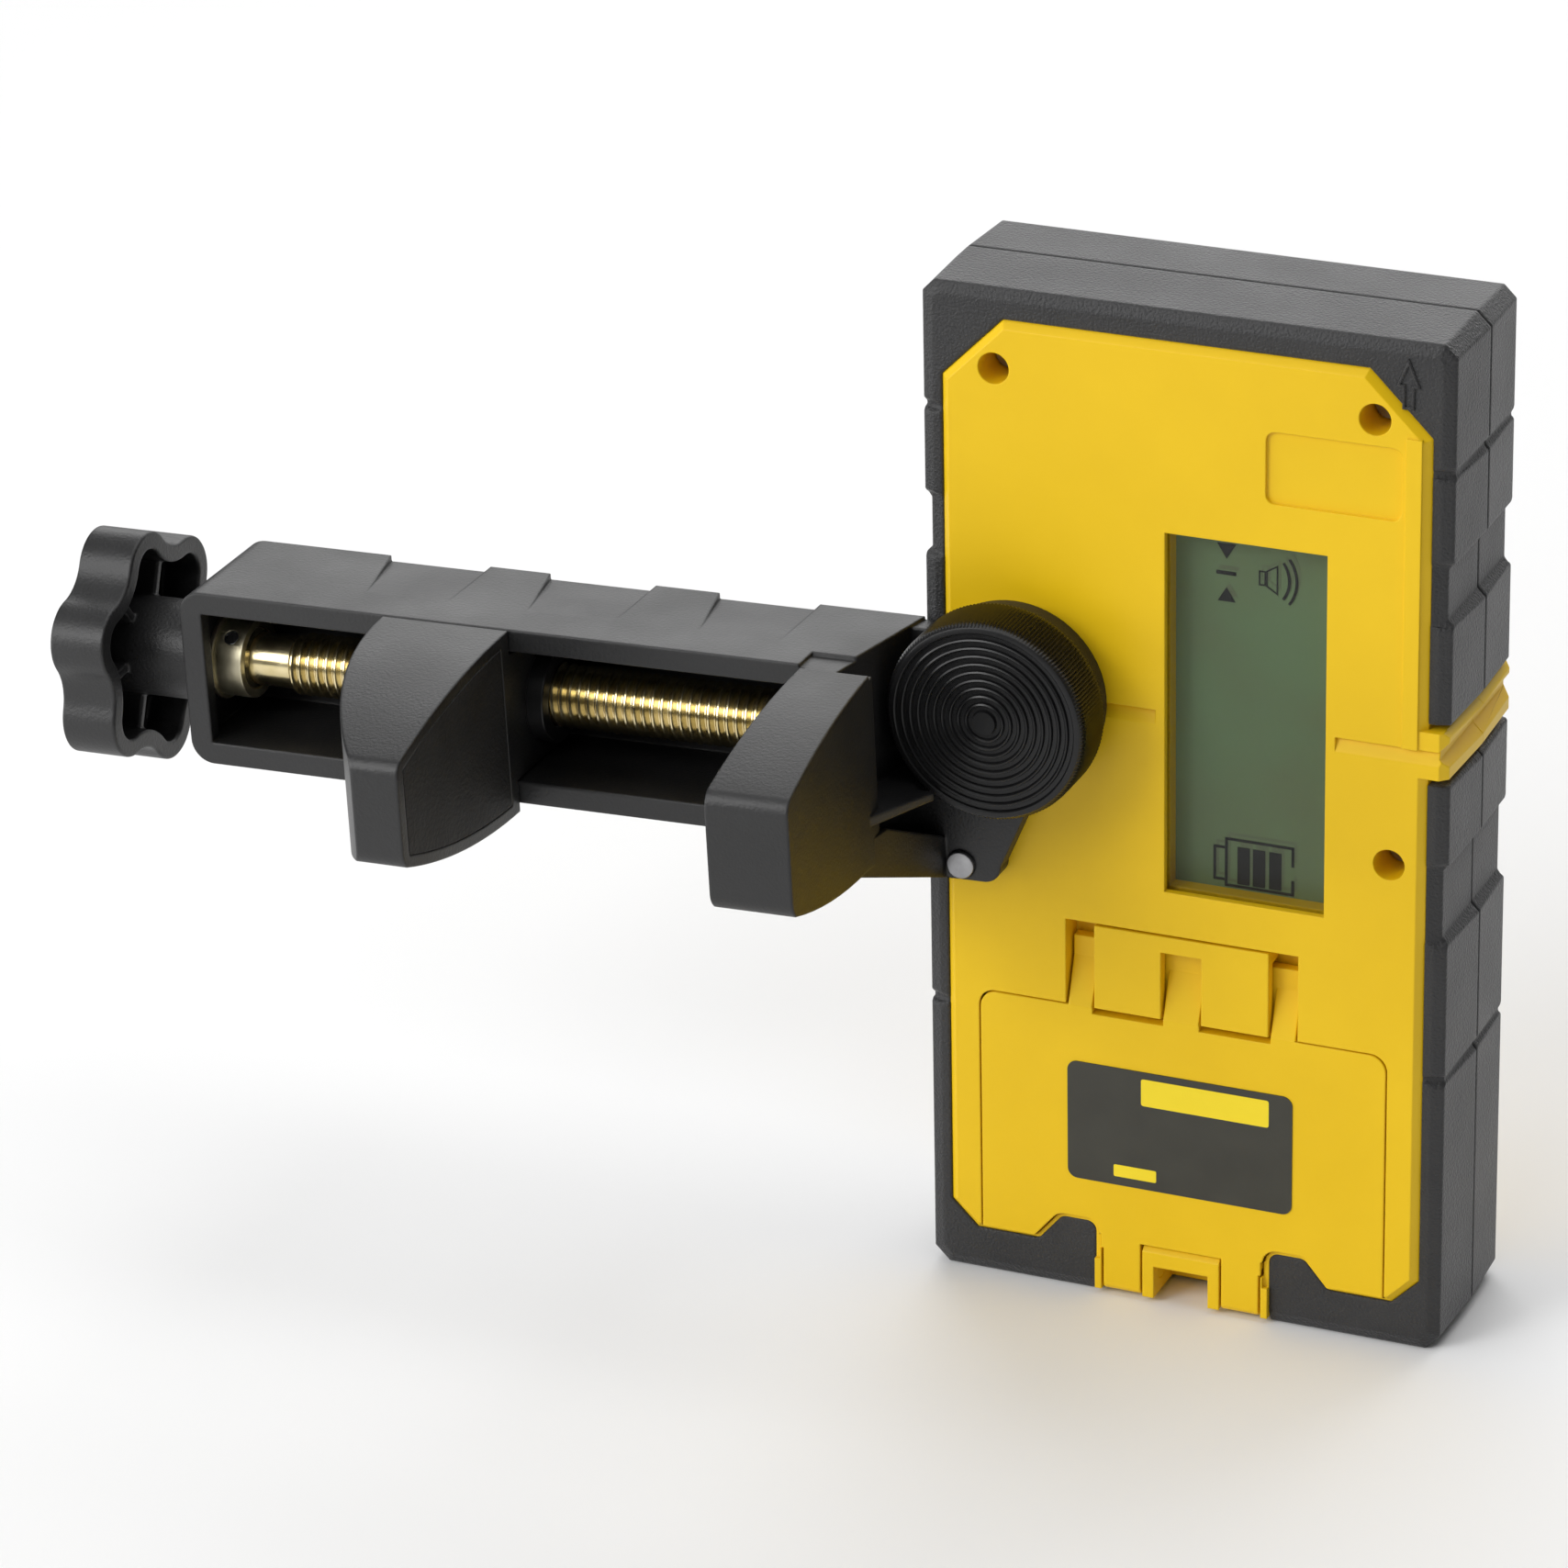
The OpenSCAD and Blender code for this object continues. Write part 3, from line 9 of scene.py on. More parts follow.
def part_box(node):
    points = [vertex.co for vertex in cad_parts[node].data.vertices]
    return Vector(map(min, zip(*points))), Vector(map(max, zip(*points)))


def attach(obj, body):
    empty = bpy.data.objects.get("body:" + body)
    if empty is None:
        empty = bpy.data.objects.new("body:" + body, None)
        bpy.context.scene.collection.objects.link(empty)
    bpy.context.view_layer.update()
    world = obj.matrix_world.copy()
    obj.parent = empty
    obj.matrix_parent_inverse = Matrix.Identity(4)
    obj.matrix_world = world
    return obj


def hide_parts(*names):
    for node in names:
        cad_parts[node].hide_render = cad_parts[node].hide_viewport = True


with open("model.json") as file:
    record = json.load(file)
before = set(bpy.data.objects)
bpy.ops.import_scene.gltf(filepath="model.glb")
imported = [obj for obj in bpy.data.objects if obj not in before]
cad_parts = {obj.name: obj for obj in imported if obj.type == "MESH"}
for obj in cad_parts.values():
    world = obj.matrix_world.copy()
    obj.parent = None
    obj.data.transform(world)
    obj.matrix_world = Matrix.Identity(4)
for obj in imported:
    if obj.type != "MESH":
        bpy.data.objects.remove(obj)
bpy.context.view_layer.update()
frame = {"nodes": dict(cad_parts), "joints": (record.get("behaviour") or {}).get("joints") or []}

MM = 0.001
TAU = 2 * math.pi
NODES = frame["nodes"]
JOINTS = {joint["name"]: joint for joint in frame["joints"]}


# Materials

COLOUR_SPAN = (0.35, 0.65)
GLOSS_SPAN = (0.3, 0.7)
WANDER_DETAIL = 5
GRAIN_DETAIL = 3
EDGE_SAMPLES = 6


def noise(finish, place, size, detail):
    """Noise over the piece, with features of a size in mm."""
    node = finish.node_tree.nodes.new("ShaderNodeTexNoise")
    node.inputs["Scale"].default_value = 1 / (size * MM)
    node.inputs["Detail"].default_value = detail
    finish.node_tree.links.new(place.outputs["Object"], node.inputs["Vector"])
    return node


def material(name, dark, light, rough, patch, grain=None, edge=0, **sockets):
    """Surface whose colour and gloss wander a little over the piece.

    patch is the size of that wander, grain the (size, depth) of the moulded texture,
    and edge the radius that softens its edges, all in mm.
    """
    finish = bpy.data.materials.new(name)
    finish.use_nodes = True
    nodes = finish.node_tree.nodes
    links = finish.node_tree.links
    shader = nodes["Principled BSDF"]
    for socket, value in sockets.items():
        shader.inputs[socket.replace("_", " ")].default_value = value
    place = nodes.new("ShaderNodeTexCoord")
    wander = noise(finish, place, patch, WANDER_DETAIL)
    ramp = nodes.new("ShaderNodeValToRGB")
    for element, position, colour in zip(ramp.color_ramp.elements, COLOUR_SPAN, (dark, light)):
        element.position = position
        element.color = (*colour, 1)
    links.new(wander.outputs["Fac"], ramp.inputs["Fac"])
    links.new(ramp.outputs["Color"], shader.inputs["Base Color"])
    gloss = nodes.new("ShaderNodeMapRange")
    gloss.inputs["From Min"].default_value = GLOSS_SPAN[0]
    gloss.inputs["From Max"].default_value = GLOSS_SPAN[1]
    gloss.inputs["To Min"].default_value = rough[0]
    gloss.inputs["To Max"].default_value = rough[1]
    links.new(wander.outputs["Fac"], gloss.inputs["Value"])
    links.new(gloss.outputs["Result"], shader.inputs["Roughness"])
    if grain:
        fine = noise(finish, place, grain[0], GRAIN_DETAIL)
        bump = nodes.new("ShaderNodeBump")
        bump.inputs["Distance"].default_value = grain[1] * MM
        links.new(fine.outputs["Fac"], bump.inputs["Height"])
        links.new(bump.outputs["Normal"], shader.inputs["Normal"])
        if edge:
            rounded = nodes.new("ShaderNodeBevel")
            rounded.samples = EDGE_SAMPLES
            rounded.inputs["Radius"].default_value = edge * MM
            links.new(rounded.outputs["Normal"], bump.inputs["Normal"])
    return finish


def steel(name, dark, light, rough):
    """Metal with fine turning marks."""
    return material(name, dark, light, rough, patch=3, grain=(0.08, 0.004), Metallic=1.0)


yellow = material("yellow", dark=(0.83, 0.53, 0.005), light=(0.87, 0.56, 0.007), rough=(0.36, 0.44),
                  patch=18, grain=(0.5, 0.006), edge=0.25, Specular_IOR_Level=0.3)
bumper = material("bumper", dark=(0.017, 0.017, 0.018), light=(0.025, 0.025, 0.026), rough=(0.46, 0.56),
                  patch=9, grain=(0.34, 0.17), edge=0.6,
                  Specular_IOR_Level=0.5, Sheen_Weight=0.22, Sheen_Roughness=0.4)
clamp = material("clamp", dark=(0.008, 0.008, 0.0085), light=(0.012, 0.012, 0.0125), rough=(0.40, 0.50),
                 patch=12, grain=(0.4, 0.05), edge=0.5, Specular_IOR_Level=0.55)
knob_black = material("knob_black", dark=(0.008, 0.008, 0.0085), light=(0.011, 0.011, 0.0115),
                      rough=(0.30, 0.38), patch=8, grain=(0.3, 0.006), Specular_IOR_Level=0.35)
rubber = material("rubber", dark=(0.009, 0.009, 0.0095), light=(0.013, 0.013, 0.0135), rough=(0.58, 0.68),
                  patch=6, grain=(0.5, 0.12), Specular_IOR_Level=0.35)
moulded = material("moulded", dark=(0.02, 0.02, 0.022), light=(0.03, 0.03, 0.032), rough=(0.4, 0.5),
                   patch=4, grain=(0.3, 0.02))
board = material("board", dark=(0.008, 0.07, 0.025), light=(0.012, 0.10, 0.04), rough=(0.3, 0.4),
                 patch=5, grain=(0.5, 0.02))
zinc = steel("zinc", dark=(0.62, 0.52, 0.28), light=(0.78, 0.67, 0.40), rough=(0.16, 0.26))
dull_zinc = steel("dull_zinc", dark=(0.66, 0.60, 0.42), light=(0.80, 0.74, 0.54), rough=(0.36, 0.48))
bright = steel("bright", dark=(0.55, 0.55, 0.56), light=(0.70, 0.70, 0.71), rough=(0.22, 0.32))
pin_steel = steel("pin_steel", dark=(0.26, 0.26, 0.27), light=(0.42, 0.42, 0.43), rough=(0.30, 0.42))
brass = steel("brass", dark=(0.62, 0.45, 0.16), light=(0.74, 0.56, 0.22), rough=(0.22, 0.32))
sleeve = material("sleeve", dark=(0.05, 0.052, 0.056), light=(0.09, 0.092, 0.098), rough=(0.3, 0.4),
                  patch=20, grain=(0.6, 0.01), Metallic=0.4)
glass = material("smoked", dark=(0.010, 0.011, 0.010), light=(0.014, 0.015, 0.013), rough=(0.04, 0.07),
                 patch=20, Alpha=0.2)
red_glass = material("red_glass", dark=(0.10, 0.006, 0.006), light=(0.13, 0.008, 0.008), rough=(0.05, 0.08),
                     patch=20, Alpha=0.6)
display = material("display", dark=(0.205, 0.28, 0.128), light=(0.208, 0.335, 0.155), rough=(0.30, 0.40),
                   patch=16)
mark = material("mark", dark=(0.006, 0.007, 0.007), light=(0.010, 0.011, 0.011), rough=(0.4, 0.5), patch=2)
# Painted shadow: a darker display colour for the shadow the marks cast on the display
painted_shadow = material("painted_shadow", dark=(0.175, 0.23, 0.115), light=(0.19, 0.25, 0.13), rough=(0.3, 0.4), patch=2)
label = material("label", dark=(0.032, 0.031, 0.023), light=(0.040, 0.039, 0.029), rough=(0.45, 0.55),
                 patch=6, grain=(0.25, 0.008))
label_yellow = material("label_yellow", dark=(0.92, 0.70, 0.010), light=(0.95, 0.73, 0.013),
                        rough=(0.45, 0.55), patch=6, grain=(0.25, 0.008))
pale = material("floor", dark=(0.88, 0.88, 0.88), light=(0.90, 0.90, 0.90), rough=(0.7, 0.8), patch=400)


# Carried-over solids: soft edges and a finish for each node

WELD_DISTANCE = 1e-6
FLAT_ANGLE = math.radians(0.5)
EDGE_ANGLE = math.radians(28)
EDGE_STEPS = 3


def dress(finish, *names, edge=0):
    """Give nodes a material, and soft edges of a width in mm."""
    for name in names:
        node = NODES[name]
        node.data.materials.clear()
        node.data.materials.append(finish)
        weld = node.modifiers.new("weld", "WELD")
        weld.merge_threshold = WELD_DISTANCE
        flat = node.modifiers.new("flat", "DECIMATE")
        flat.decimate_type = "DISSOLVE"
        flat.angle_limit = FLAT_ANGLE
        if edge:
            soft = node.modifiers.new("edge", "BEVEL")
            soft.width = edge * MM
            soft.segments = EDGE_STEPS
            soft.limit_method = "ANGLE"
            soft.angle_limit = EDGE_ANGLE
            soft.use_clamp_overlap = False
        normal = node.modifiers.new("normal", "WEIGHTED_NORMAL")
        normal.keep_sharp = True


# Narrow slots in a node limit how wide its edges can be
dress(yellow, "rear_housing", edge=0.05)
dress(yellow, "front_housing", "battery_door", "door_latch", edge=0.1)
dress(bumper, "rear_upper_bumper", "front_upper_bumper", "front_lower_bumper", edge=0.2)
dress(bumper, "rear_lower_bumper", edge=0.15)
dress(clamp, "clamp_body", "sliding_jaw", edge=0.15)
dress(clamp, "star_knob", edge=0.3)
dress(knob_black, "jaw_nut", "thumbscrew_knob", edge=0.2)
dress(rubber, "power_button", "volume_button", "precision_button", edge=0.2)
dress(rubber, "fixed_jaw_pad", "sliding_jaw_pad", edge=0.2)
dress(rubber, "housing_seal")
dress(moulded, "photodiode_strip", "key_switches", "buzzer", edge=0.1)
dress(board, "main_board")
dress(zinc, "jaw_screw", edge=0.1)
dress(dull_zinc, "thrust_washer", "screw_collar", edge=0.1)
dress(bright, "battery_contacts", "collar_pin", "thumbscrew_stud", "thumbscrew_clip", edge=0.08)
# The housing screws take the darker steel as painted shade for the deep holes they sit in
dress(pin_steel, "housing_screws", edge=0.08)
dress(pin_steel, "locating_pin", edge=0.2)
dress(brass, "mount_insert", edge=0.1)
dress(sleeve, "battery_cells", edge=0.2)
dress(glass, "rear_display_window", "front_display_window", edge=0.08)
dress(red_glass, "sensor_window", edge=0.08)
dress(display, "rear_display", "front_display")


# Meshes made here

MERGE_DISTANCE = 1e-6
MITRE_LIMIT = 0.3


def piece(name, shape, finish, body, smooth=None):
    """Object from a finished mesh; it is shaded smooth up to an angle in degrees."""
    bmesh.ops.recalc_face_normals(shape, faces=shape.faces)
    mesh = bpy.data.meshes.new(name)
    shape.to_mesh(mesh)
    shape.free()
    made = bpy.data.objects.new(name, mesh)
    bpy.context.scene.collection.objects.link(made)
    mesh.materials.append(finish)
    if smooth is not None:
        mesh.shade_smooth()
        for index in sharp_edges(mesh, smooth):
            mesh.edges[index].use_edge_sharp = True
    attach(made, body)
    return made


def sharp_edges(mesh, limit):
    """Edges whose two faces meet at more than limit degrees."""
    normals = {}
    for polygon in mesh.polygons:
        for key in polygon.edge_keys:
            normals.setdefault(key, []).append(polygon.normal)
    cosine = math.cos(math.radians(limit))
    sharp = []
    for edge in mesh.edges:
        beside = normals[edge.key]
        if len(beside) == 2 and beside[0].dot(beside[1]) < cosine:
            sharp.append(edge.index)
    return sharp


def stroke(points, width, closed=False):
    """Quads along a line of (x, z) points, with mitred corners."""
    path = [Vector(point) for point in points]
    count = len(path)
    left = []
    right = []
    for i, point in enumerate(path):
        before = path[i - 1] if i or closed else None
        after = path[(i + 1) % count] if i < count - 1 or closed else None
        way_in = (point - before if before is not None else after - point).normalized()
        way_out = (after - point).normalized() if after is not None else way_in
        square_in = Vector((-way_in.y, way_in.x))
        square_out = Vector((-way_out.y, way_out.x))
        mitre = (square_in + square_out).normalized()
        mitre = mitre * (width / 2 / max(MITRE_LIMIT, mitre.dot(square_in)))
        left.append(point + mitre)
        right.append(point - mitre)
    last = count if closed else count - 1
    return [[left[i], right[i], right[(i + 1) % count], left[(i + 1) % count]] for i in range(last)]


def arc(x, z, radius, start, end, steps):
    """Points along an arc about (x, z), between two angles in degrees."""
    angles = [math.radians(start + (end - start) * i / steps) for i in range(steps + 1)]
    return [(x + radius * math.cos(angle), z + radius * math.sin(angle)) for angle in angles]


def box_outline(x0, z0, x1, z1):
    """Box between its lower left and upper right corners."""
    return [(x0, z0), (x1, z0), (x1, z1), (x0, z1)]


def round_outline(x, z, width, height, radius, steps):
    """Box with round corners, from its lower left corner."""
    left = x + radius
    right = x + width - radius
    foot = z + radius
    top = z + height - radius
    outline = []
    for quarter, centre in enumerate(((right, foot), (right, top), (left, top), (left, foot))):
        start = 90 * (quarter - 1)
        outline += arc(*centre, radius, start, start + 90, steps)
    return outline


def triangle(x, half, base, tip):
    """Triangle with its base and its tip at two heights."""
    return [(x - half, base), (x, tip), (x + half, base)]


def middle(low, high):
    """Middle of a box as (x, z)."""
    return ((low.x + high.x) / 2, (low.z + high.z) / 2)


def plate(name, outlines, origin, y, rise, finish, body):
    """Thin shapes raised along -Y, or along +Y where rise is below 0.

    Outlines are in mm from origin and rise in mm, while origin and y are in metres.
    """
    shape = bmesh.new()
    for outline in outlines:
        shape.faces.new([shape.verts.new((origin[0] + x * MM, y, origin[1] + z * MM)) for x, z in outline])
    bmesh.ops.remove_doubles(shape, verts=shape.verts, dist=MERGE_DISTANCE)
    grown = bmesh.ops.extrude_face_region(shape, geom=list(shape.faces))["geom"]
    moved = [part for part in grown if isinstance(part, bmesh.types.BMVert)]
    bmesh.ops.translate(shape, vec=(0, -rise * MM, 0), verts=moved)
    return piece(name, shape, finish, body)


def reach(node, origin, axis):
    """How far a node goes along an axis, from origin, and its greatest radius about it."""
    along = []
    out = []
    for vertex in NODES[node].data.vertices:
        offset = vertex.co - origin
        distance = offset.dot(axis)
        along.append(distance)
        out.append((offset - axis * distance).length)
    return min(along), max(along), max(out)


def around(x, radius, angle):
    """Point at an angle about the x axis."""
    return Vector((x, radius * math.cos(angle), radius * math.sin(angle)))


def skin(shape, rings):
    """Faces between closed rings of vertices, each ring to the next."""
    for ring, following in zip(rings, rings[1:]):
        count = len(ring)
        for i in range(count):
            beside = (i + 1) % count
            shape.faces.new([ring[i], ring[beside], following[beside], following[i]])


# Jaw screw with its thread

PITCH = 1.25 * MM
THREAD_DEPTH = 0.65 * MM
THREAD_SIDES = 48
THREAD_SMOOTH = 32
THREAD_MERGE = 1e-7
FADE_TURNS = 0.6
# Start and end of a turn's crest, and where it is back at the root, as shares of the pitch
CREST_SHARES = (0.38, 0.54)
ROOT_SHARE = 0.92
# Where the plain root starts behind the last turn, as a share of the pitch
RUNOUT_SHARE = 1.2
THREAD_LEAD = 0.3 * MM
PLAIN_LENGTH = 5.2 * MM
RELIEF_LENGTH = 2.5 * MM
JOURNAL_LENGTH = 4 * MM
JOURNAL_STEP = 1.0 * MM
CHAMFER = 0.4 * MM
SHOULDER = 0.2 * MM

turn = JOINTS["screw_turn"]
axis = Vector(turn["axis"]).normalized()
foot = Vector(turn["pos_m"])
side = Vector((0, 1, 0))
screw_place = Matrix((axis, side, axis.cross(side))).transposed().to_4x4()
screw_place.translation = foot

screw_start, screw_end, screw_radius = reach("jaw_screw", foot, axis)
_, collar_end, _ = reach("screw_collar", foot, axis)
root_radius = screw_radius - THREAD_DEPTH
journal_radius = screw_radius - JOURNAL_STEP
journal_start = screw_end - JOURNAL_LENGTH
thread_start = collar_end + PLAIN_LENGTH
thread_end = journal_start - RELIEF_LENGTH
turns = int((thread_end - thread_start) / PITCH)
steps = turns * THREAD_SIDES


def screw_ring(shape, x, radius):
    """Circle of vertices about the axis of the screw."""
    angles = [TAU * i / THREAD_SIDES for i in range(THREAD_SIDES)]
    return [shape.verts.new(screw_place @ around(x, radius, angle)) for angle in angles]


def thread_row(shape, i):
    """Root, two crest points and root again, at step i of the helix."""
    angle = TAU * i / THREAD_SIDES
    fade_steps = FADE_TURNS * THREAD_SIDES
    crest = root_radius + THREAD_DEPTH * min(1.0, i / fade_steps, (steps - i) / fade_steps)
    start = thread_start + PITCH * i / THREAD_SIDES
    shares = (0, *CREST_SHARES, ROOT_SHARE)
    radii = (root_radius, crest, crest, root_radius)
    points = [around(start + share * PITCH, radius, angle) for share, radius in zip(shares, radii)]
    return [shape.verts.new(screw_place @ point) for point in points]


shape = bmesh.new()
head_profile = [
    (screw_start, screw_radius - CHAMFER),
    (screw_start + CHAMFER, screw_radius),
    (collar_end - SHOULDER, screw_radius),
    (collar_end + SHOULDER, root_radius),
    (thread_start - THREAD_LEAD, root_radius),
]
tail_profile = [
    (thread_start + PITCH * (turns + RUNOUT_SHARE), root_radius),
    (journal_start, root_radius),
    (journal_start, journal_radius),
    (screw_end - CHAMFER, journal_radius),
    (screw_end, journal_radius - CHAMFER),
]
head = [screw_ring(shape, x, radius) for x, radius in head_profile]
skin(shape, head)
shape.faces.new(head[0])
rows = [thread_row(shape, i) for i in range(steps + 1)]
for i in range(steps):
    for k in range(len(rows[i]) - 1):
        shape.faces.new([rows[i][k], rows[i + 1][k], rows[i + 1][k + 1], rows[i][k + 1]])
    following = i + THREAD_SIDES
    if following < steps:
        shape.faces.new([rows[i][-1], rows[i + 1][-1], rows[following + 1][0], rows[following][0]])
tail = [screw_ring(shape, x, radius) for x, radius in tail_profile]
skin(shape, tail)
shape.faces.new(tail[-1])
last_turn = rows[steps - THREAD_SIDES:]
for i in range(THREAD_SIDES):
    beside = (i + 1) % THREAD_SIDES
    shape.faces.new([head[-1][i], head[-1][beside], rows[i + 1][0], rows[i][0]])
    shape.faces.new([last_turn[i][-1], last_turn[i + 1][-1], tail[0][beside], tail[0][i]])
shape.faces.new(rows[0])
shape.faces.new(rows[steps])
bmesh.ops.remove_doubles(shape, verts=shape.verts, dist=THREAD_MERGE)
screw = piece("threaded_screw", shape, zinc, "screw", THREAD_SMOOTH)
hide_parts("jaw_screw")


# Thumbscrew knob with its rim teeth and face rings

TEETH = 168
TOOTH_DEPTH = 0.3 * MM
# How deep each point of a tooth is cut, as shares of its depth
TOOTH_SHARES = (0.0, 0.55, 1.0, 0.55)
KNOB_SMOOTH = 30
BORE_GAP = 0.05 * MM
BORE_PAST = 0.1 * MM
# Rim, as mm in from its radius, mm in from the back or the face, and the tooth's share there
BACK_EDGE = ((1.2, 0, 0), (0.55, 0.35, 0), (0.2, 0.7, 0.6), (0, 1.1, 1))
FACE_EDGE = ((0, 1.15, 1), (0.16, 0.75, 0.7), (0.42, 0.42, 0.15), (0.62, 0.12, 0), (0.85, 0.02, 0))
RINGS = 10
RINGS_INSET = 1.5 * MM
CENTRE_RADIUS = 1.6 * MM
# How far the innermost ridge stands out from that radius, as a share of a ring
CENTRE_SHARE = 0.5
CENTRE_LIP = 0.9 * MM
# Ridge between two grooves, as mm out from its radius and mm below the face
RIDGE_INNER_SIDE = ((0.22, 0), (0.10, 0.10), (-0.02, 0.42))
RIDGE_OUTER_SIDE = ((0.52, 0.42), (0.40, 0.10))

low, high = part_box("thumbscrew_knob")
stud_low, stud_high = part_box("thumbscrew_stud")
knob_radius = (high.x - low.x) / 2
bore_radius = (stud_high.x - stud_low.x) / 2 + BORE_GAP
knob_x, knob_z = middle(low, high)
rings_radius = knob_radius - RINGS_INSET
ring_step = (rings_radius - CENTRE_RADIUS) / (RINGS - CENTRE_SHARE)

profile = [(bore_radius, stud_low.y - BORE_PAST, 0), (bore_radius, high.y, 0)]
profile += [(knob_radius - inset * MM, high.y - depth * MM, share) for inset, depth, share in BACK_EDGE]
profile += [(knob_radius - inset * MM, low.y + depth * MM, share) for inset, depth, share in FACE_EDGE]
for k in range(RINGS):
    ridge_radius = rings_radius - k * ring_step
    next_radius = ridge_radius - ring_step
    profile += [(ridge_radius + out * MM, low.y + depth * MM, 0) for out, depth in RIDGE_INNER_SIDE]
    profile += [(next_radius + out * MM, low.y + depth * MM, 0) for out, depth in RIDGE_OUTER_SIDE]
profile += [(CENTRE_RADIUS - ring_step + CENTRE_LIP, low.y, 0)]

shape = bmesh.new()
knob_rings = []
knob_sides = TEETH * len(TOOTH_SHARES)
for radius, y, share in profile:
    row = []
    for i in range(knob_sides):
        cut_radius = radius - share * TOOTH_SHARES[i % len(TOOTH_SHARES)] * TOOTH_DEPTH
        angle = TAU * i / knob_sides
        x = knob_x + cut_radius * math.cos(angle)
        z = knob_z + cut_radius * math.sin(angle)
        row.append(shape.verts.new((x, y, z)))
    knob_rings.append(row)
skin(shape, knob_rings)
shape.faces.new(knob_rings[0])
shape.faces.new(knob_rings[-1])
knob = piece("ringed_knob", shape, knob_black, "thumbscrew", KNOB_SMOOTH)
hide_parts("thumbscrew_knob")


# Display marks: a dash between two arrows, a speaker and a battery, in mm from the middle of the display

LINE = 0.36
THIN_LINE = 0.2
ARROW_DOWN = triangle(-3.84, half=1.2, base=21.75, tip=19.8)
DASH = box_outline(-5.15, 17.7, -2.6, 18.2)
ARROW_UP = triangle(-3.82, half=1.15, base=14.25, tip=16.1)
SPEAKER_BOX = box_outline(0.36, 17.05, 1.08, 18.8)
SPEAKER_HORN = [(1.3, 16.95), (2.62, 16.13), (2.62, 19.7), (1.3, 18.9)]
WAVE_CENTRE = (0.1, 17.9)
WAVE_RADII = (4.05, 5.0)
WAVE_STEPS = (10, 12)
WAVE_ANGLE = 36
CELL_LEFT = -3.7
CELL_RIGHT = 4.9
CELL_FOOT = -23.3
CELL_TOP = -17.1
CELL_GAP = (-21.4, -19.6)
CAP_RIGHT = -3.9
CAP_LEFT = -5.2
CAP_FOOT = -22.6
CAP_TOP = -18.3
BARS_LEFT = (-2.25, -0.25, 1.85)
BAR_WIDTH = 1.6
BAR_FOOT = -23.0
BAR_TOP = -18.0
MARK_LIFT = 0.06 * MM
MARK_RISE = 0.03
# The painted shadow copies of the marks: how far they stand out and how far they are moved aside
PAINTED_SHADOW_RISE = 0.02
PAINTED_SHADOW_SHIFT = (0.35, 0.7)
FRONT_PAINTED_SHADOW_SHIFT = (-0.3, 0.6)
FRONT_SHARE = 0.8


def shifted(outlines, shift):
    """Copies of outlines, moved by (x, z)."""
    return [[(x + shift[0], z + shift[1]) for x, z in outline] for outline in outlines]


cell = [(CELL_RIGHT, CELL_GAP[1]), (CELL_RIGHT, CELL_TOP), (CELL_LEFT, CELL_TOP),
        (CELL_LEFT, CELL_FOOT), (CELL_RIGHT, CELL_FOOT), (CELL_RIGHT, CELL_GAP[0])]
cap = [(CAP_RIGHT, CAP_TOP), (CAP_LEFT, CAP_TOP), (CAP_LEFT, CAP_FOOT), (CAP_RIGHT, CAP_FOOT)]
marks = [ARROW_DOWN, DASH, ARROW_UP]
marks += [box_outline(left, BAR_FOOT, left + BAR_WIDTH, BAR_TOP) for left in BARS_LEFT]
marks += stroke(SPEAKER_BOX, THIN_LINE, True)
marks += stroke(SPEAKER_HORN, THIN_LINE, True)
for radius, wave_steps in zip(WAVE_RADII, WAVE_STEPS):
    marks += stroke(arc(*WAVE_CENTRE, radius, -WAVE_ANGLE, WAVE_ANGLE, wave_steps), LINE)
marks += stroke(cell, LINE)
marks += stroke(cap, LINE)

low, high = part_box("rear_display")
centre = middle(low, high)
plate("lcd_marks", marks, centre, low.y - MARK_LIFT, MARK_RISE, mark, "receiver")
# Painted shadow of the marks: darker copies moved a little aside on the display
shade = shifted(marks, PAINTED_SHADOW_SHIFT)
plate("lcd_painted_shadows", shade, centre, low.y, PAINTED_SHADOW_RISE, painted_shadow, "receiver")

low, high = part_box("front_display")
centre = middle(low, high)
front = [[(-FRONT_SHARE * x, FRONT_SHARE * z) for x, z in outline] for outline in marks]
plate("front_lcd_marks", front, centre, high.y + MARK_LIFT, -MARK_RISE, mark, "receiver")
# Painted shadow of the front marks: darker copies moved a little aside
shade = shifted(front, FRONT_PAINTED_SHADOW_SHIFT)
plate("front_lcd_painted_shadows", shade, centre, high.y, -PAINTED_SHADOW_RISE, painted_shadow, "receiver")


# Plain symbols on the front keys, in mm from the middle of each key
# Seen from the front, +X is on the left

SYMBOL_RISE = 0.06
POWER_RING = arc(0, 0, 2.1, 120, 420, 24)
POWER_LINE = 0.45
POWER_BAR = box_outline(-0.23, 0.4, 0.23, 2.7)
VOLUME_HORN = [(2.4, -0.8), (1.5, -0.8), (0.2, -1.9), (0.2, 1.9), (1.5, 0.8), (2.4, 0.8)]
VOLUME_WAVES = [arc(0.9, 0, 2.1, 145, 215, 8), arc(0.9, 0, 3.1, 145, 215, 10)]
VOLUME_LINE = 0.4
PRECISION_BAR = box_outline(-2.3, -0.22, 2.3, 0.22)
PRECISION_ARROWS = [triangle(0, half=1.3, base=2.5, tip=0.8), triangle(0, half=1.3, base=-2.5, tip=-0.8)]

symbols = {
    "power": stroke(POWER_RING, POWER_LINE) + [POWER_BAR],
    "volume": [VOLUME_HORN] + [quad for wave in VOLUME_WAVES for quad in stroke(wave, VOLUME_LINE)],
    "precision": [PRECISION_BAR] + PRECISION_ARROWS,
}
for key, symbol in symbols.items():
    low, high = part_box(key + "_button")
    plate(key + "_symbol", symbol, middle(low, high), high.y, -SYMBOL_RISE, label_yellow, key + "_key")


# Bare label on the door, in mm from the door's lower left corner

